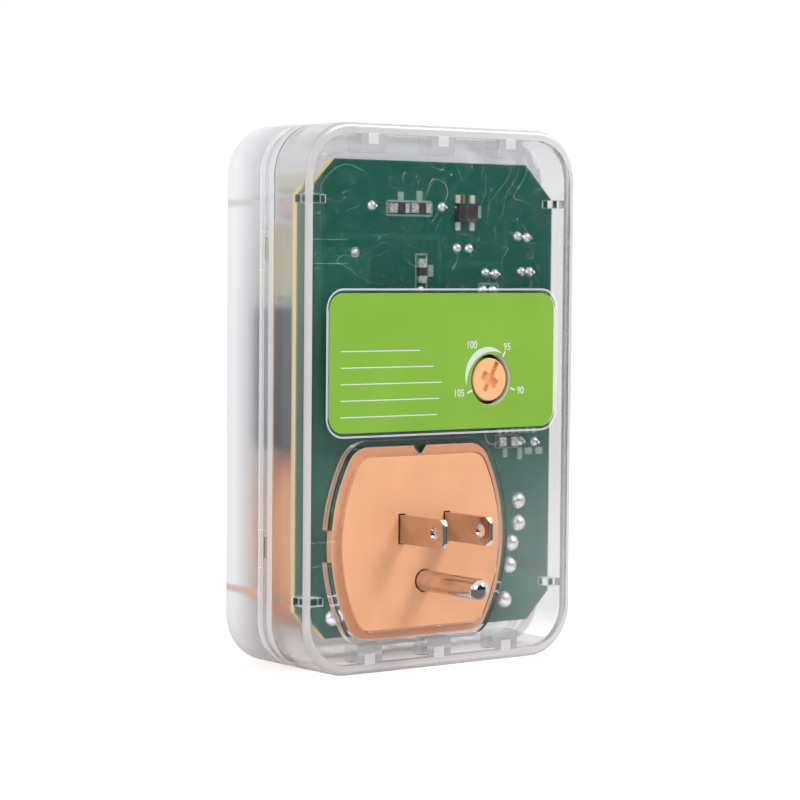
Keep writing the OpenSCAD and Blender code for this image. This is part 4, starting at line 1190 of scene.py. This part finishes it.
# %% Camera
CAMERA_PLACE = (-0.3623, -0.46363, 0.05935)
CAMERA_TURN, CAMERA_DIP, CAMERA_ROLL = math.radians(37.445), math.radians(3.013), math.radians(0.477)
PICTURE, FOCAL_PX, SENSOR = 800, 2649.2, 36.0
camera_data = bpy.data.cameras.new("camera")
camera_data.sensor_width = SENSOR
camera_data.lens = FOCAL_PX * SENSOR / PICTURE
camera = bpy.data.objects.new("camera", camera_data)
bpy.context.scene.collection.objects.link(camera)
camera.matrix_world = (
    Matrix.Translation(CAMERA_PLACE)
    @ Matrix.Rotation(-CAMERA_TURN, 4, "Z")
    @ Matrix.Rotation(math.radians(90) - CAMERA_DIP, 4, "X")
    @ Matrix.Rotation(CAMERA_ROLL, 4, "Z")
)
bpy.context.scene.camera = camera
print("lens in mm:", round(camera_data.lens, 1))

# %% [markdown]
# To the camera the floor is nearly white beside the object and fully white
# further off. Its mirror images fade into a dark room far away and on the
# left, which gives the metal its contrast. Seen through the clear plastic it
# glows close to the housing, in place of light that comes up from below.

# %% Floor
FLOOR_SIZE, PALE = 1.4, 0.93
NEAR_GLOW, GLOW_REACH = 0.45, (80, 350)
DARK, DARK_REACH, LEFT_REACH, LEFT_SKEW = 0.03, (250, 650), (-20, 30), 0.77
CLOSE_GLOW, FAINT_GLOW, CLOSE_REACH = 0.75, 0.1, (40, 110)


def studio_floor():
    """A pale floor, white to the eye, that fades out in mirror images."""
    bpy.ops.mesh.primitive_plane_add(size=FLOOR_SIZE, location=(0, 0, cad_box[0].z))
    floor = bpy.context.object
    floor.name = "floor"
    finish, place, x, y, z = new_finish("floor")
    far = finish.node("VectorMath", {"operation": "LENGTH"}, {0: place}, out="Value")
    dull, dark = (finish.node("BsdfDiffuse", {}, {"Color": grey(level)}) for level in (PALE, DARK))
    near_glow, full_glow, close_glow, faint_glow = (
        finish.node("Emission", {}, {"Color": WHITE, "Strength": strength})
        for strength in (NEAR_GLOW, 1.0, CLOSE_GLOW, FAINT_GLOW)
    )
    glow = finish.join(far.spread(*GLOW_REACH, 0.0, 1.0), near_glow, full_glow)
    to_eye = finish.node("AddShader", {}, {0: dull, 1: glow})
    left = (x + y * LEFT_SKEW).spread(*LEFT_REACH, 0.8, 0.0)
    fading = finish.join(far.spread(*DARK_REACH, 0.0, 1.0).by_more(left), dull, dark)
    in_mirror = finish.join(finish.ray("Glossy"), dull, fading)
    under = finish.join(far.spread(*CLOSE_REACH, 0.0, 1.0), close_glow, faint_glow)
    through = finish.node("AddShader", {}, {0: dull, 1: under})
    unseen = finish.join(finish.ray("Transmission"), in_mirror, through)
    floor.data.materials.append(finish.done(finish.join(finish.ray("Camera"), unseen, to_eye)))


studio_floor()

# %% [markdown]
# The world is white to the camera and gives an even light. Mirrors and clear
# plastic see it white in front of the object and dark behind the camera.
# Two soft square lamps model the shapes: the key from high on the right, and
# a weaker one from the left.

# %% World and lamps
AMBIENT, ROOM = 0.6, 0.03
ROOM_EDGE = (-0.72, -0.5)
LAMPS = {"key": ((0.55, -0.9, 0.9), 0.45, 8.0), "fill": ((-1.0, -0.45, 0.5), 0.6, 5.0)}


def studio_world():
    """White to the eye, an even light, and a dark room behind the camera."""
    world = bpy.data.worlds.new("studio")
    bpy.context.scene.world = world
    world.use_nodes = True
    tree = world.node_tree
    tree.nodes.clear()
    y = add_node(tree, "SeparateXYZ", {}, {0: add_node(tree, "TexCoord", out="Generated")}, out=1)
    even, dark, white = (
        add_node(tree, "Background", {}, {"Color": WHITE, "Strength": level})
        for level in (AMBIENT, ROOM, 1.0)
    )
    seen, glossy, bent = (
        add_node(tree, "LightPath", out=f"Is {kind} Ray") for kind in ("Camera", "Glossy", "Transmission")
    )
    room = add_node(tree, "MixShader", {}, {0: y.spread(*ROOM_EDGE, 0.0, 1.0), 1: dark, 2: white})
    sky = add_node(tree, "MixShader", {}, {0: glossy + bent, 1: even, 2: room})
    sky = add_node(tree, "MixShader", {}, {0: seen, 1: sky, 2: white})
    add_node(tree, "OutputWorld", {}, {"Surface": sky})


def lamp(name, place, size, watts):
    """A square soft box that looks at the middle of the object."""
    data = bpy.data.lights.new(name, "AREA")
    data.size = size
    data.energy = watts
    light = bpy.data.objects.new(name, data)
    bpy.context.scene.collection.objects.link(light)
    light.location = place
    middle = (cad_box[0] + cad_box[1]) / 2
    light.rotation_euler = (middle - light.location).to_track_quat("-Z", "Y").to_euler()


studio_world()
for name, (place, size, watts) in LAMPS.items():
    lamp(name, place, size, watts)
bpy.context.scene.view_settings.view_transform = "Standard"
print("lamps:", len(LAMPS))

# %% [markdown]
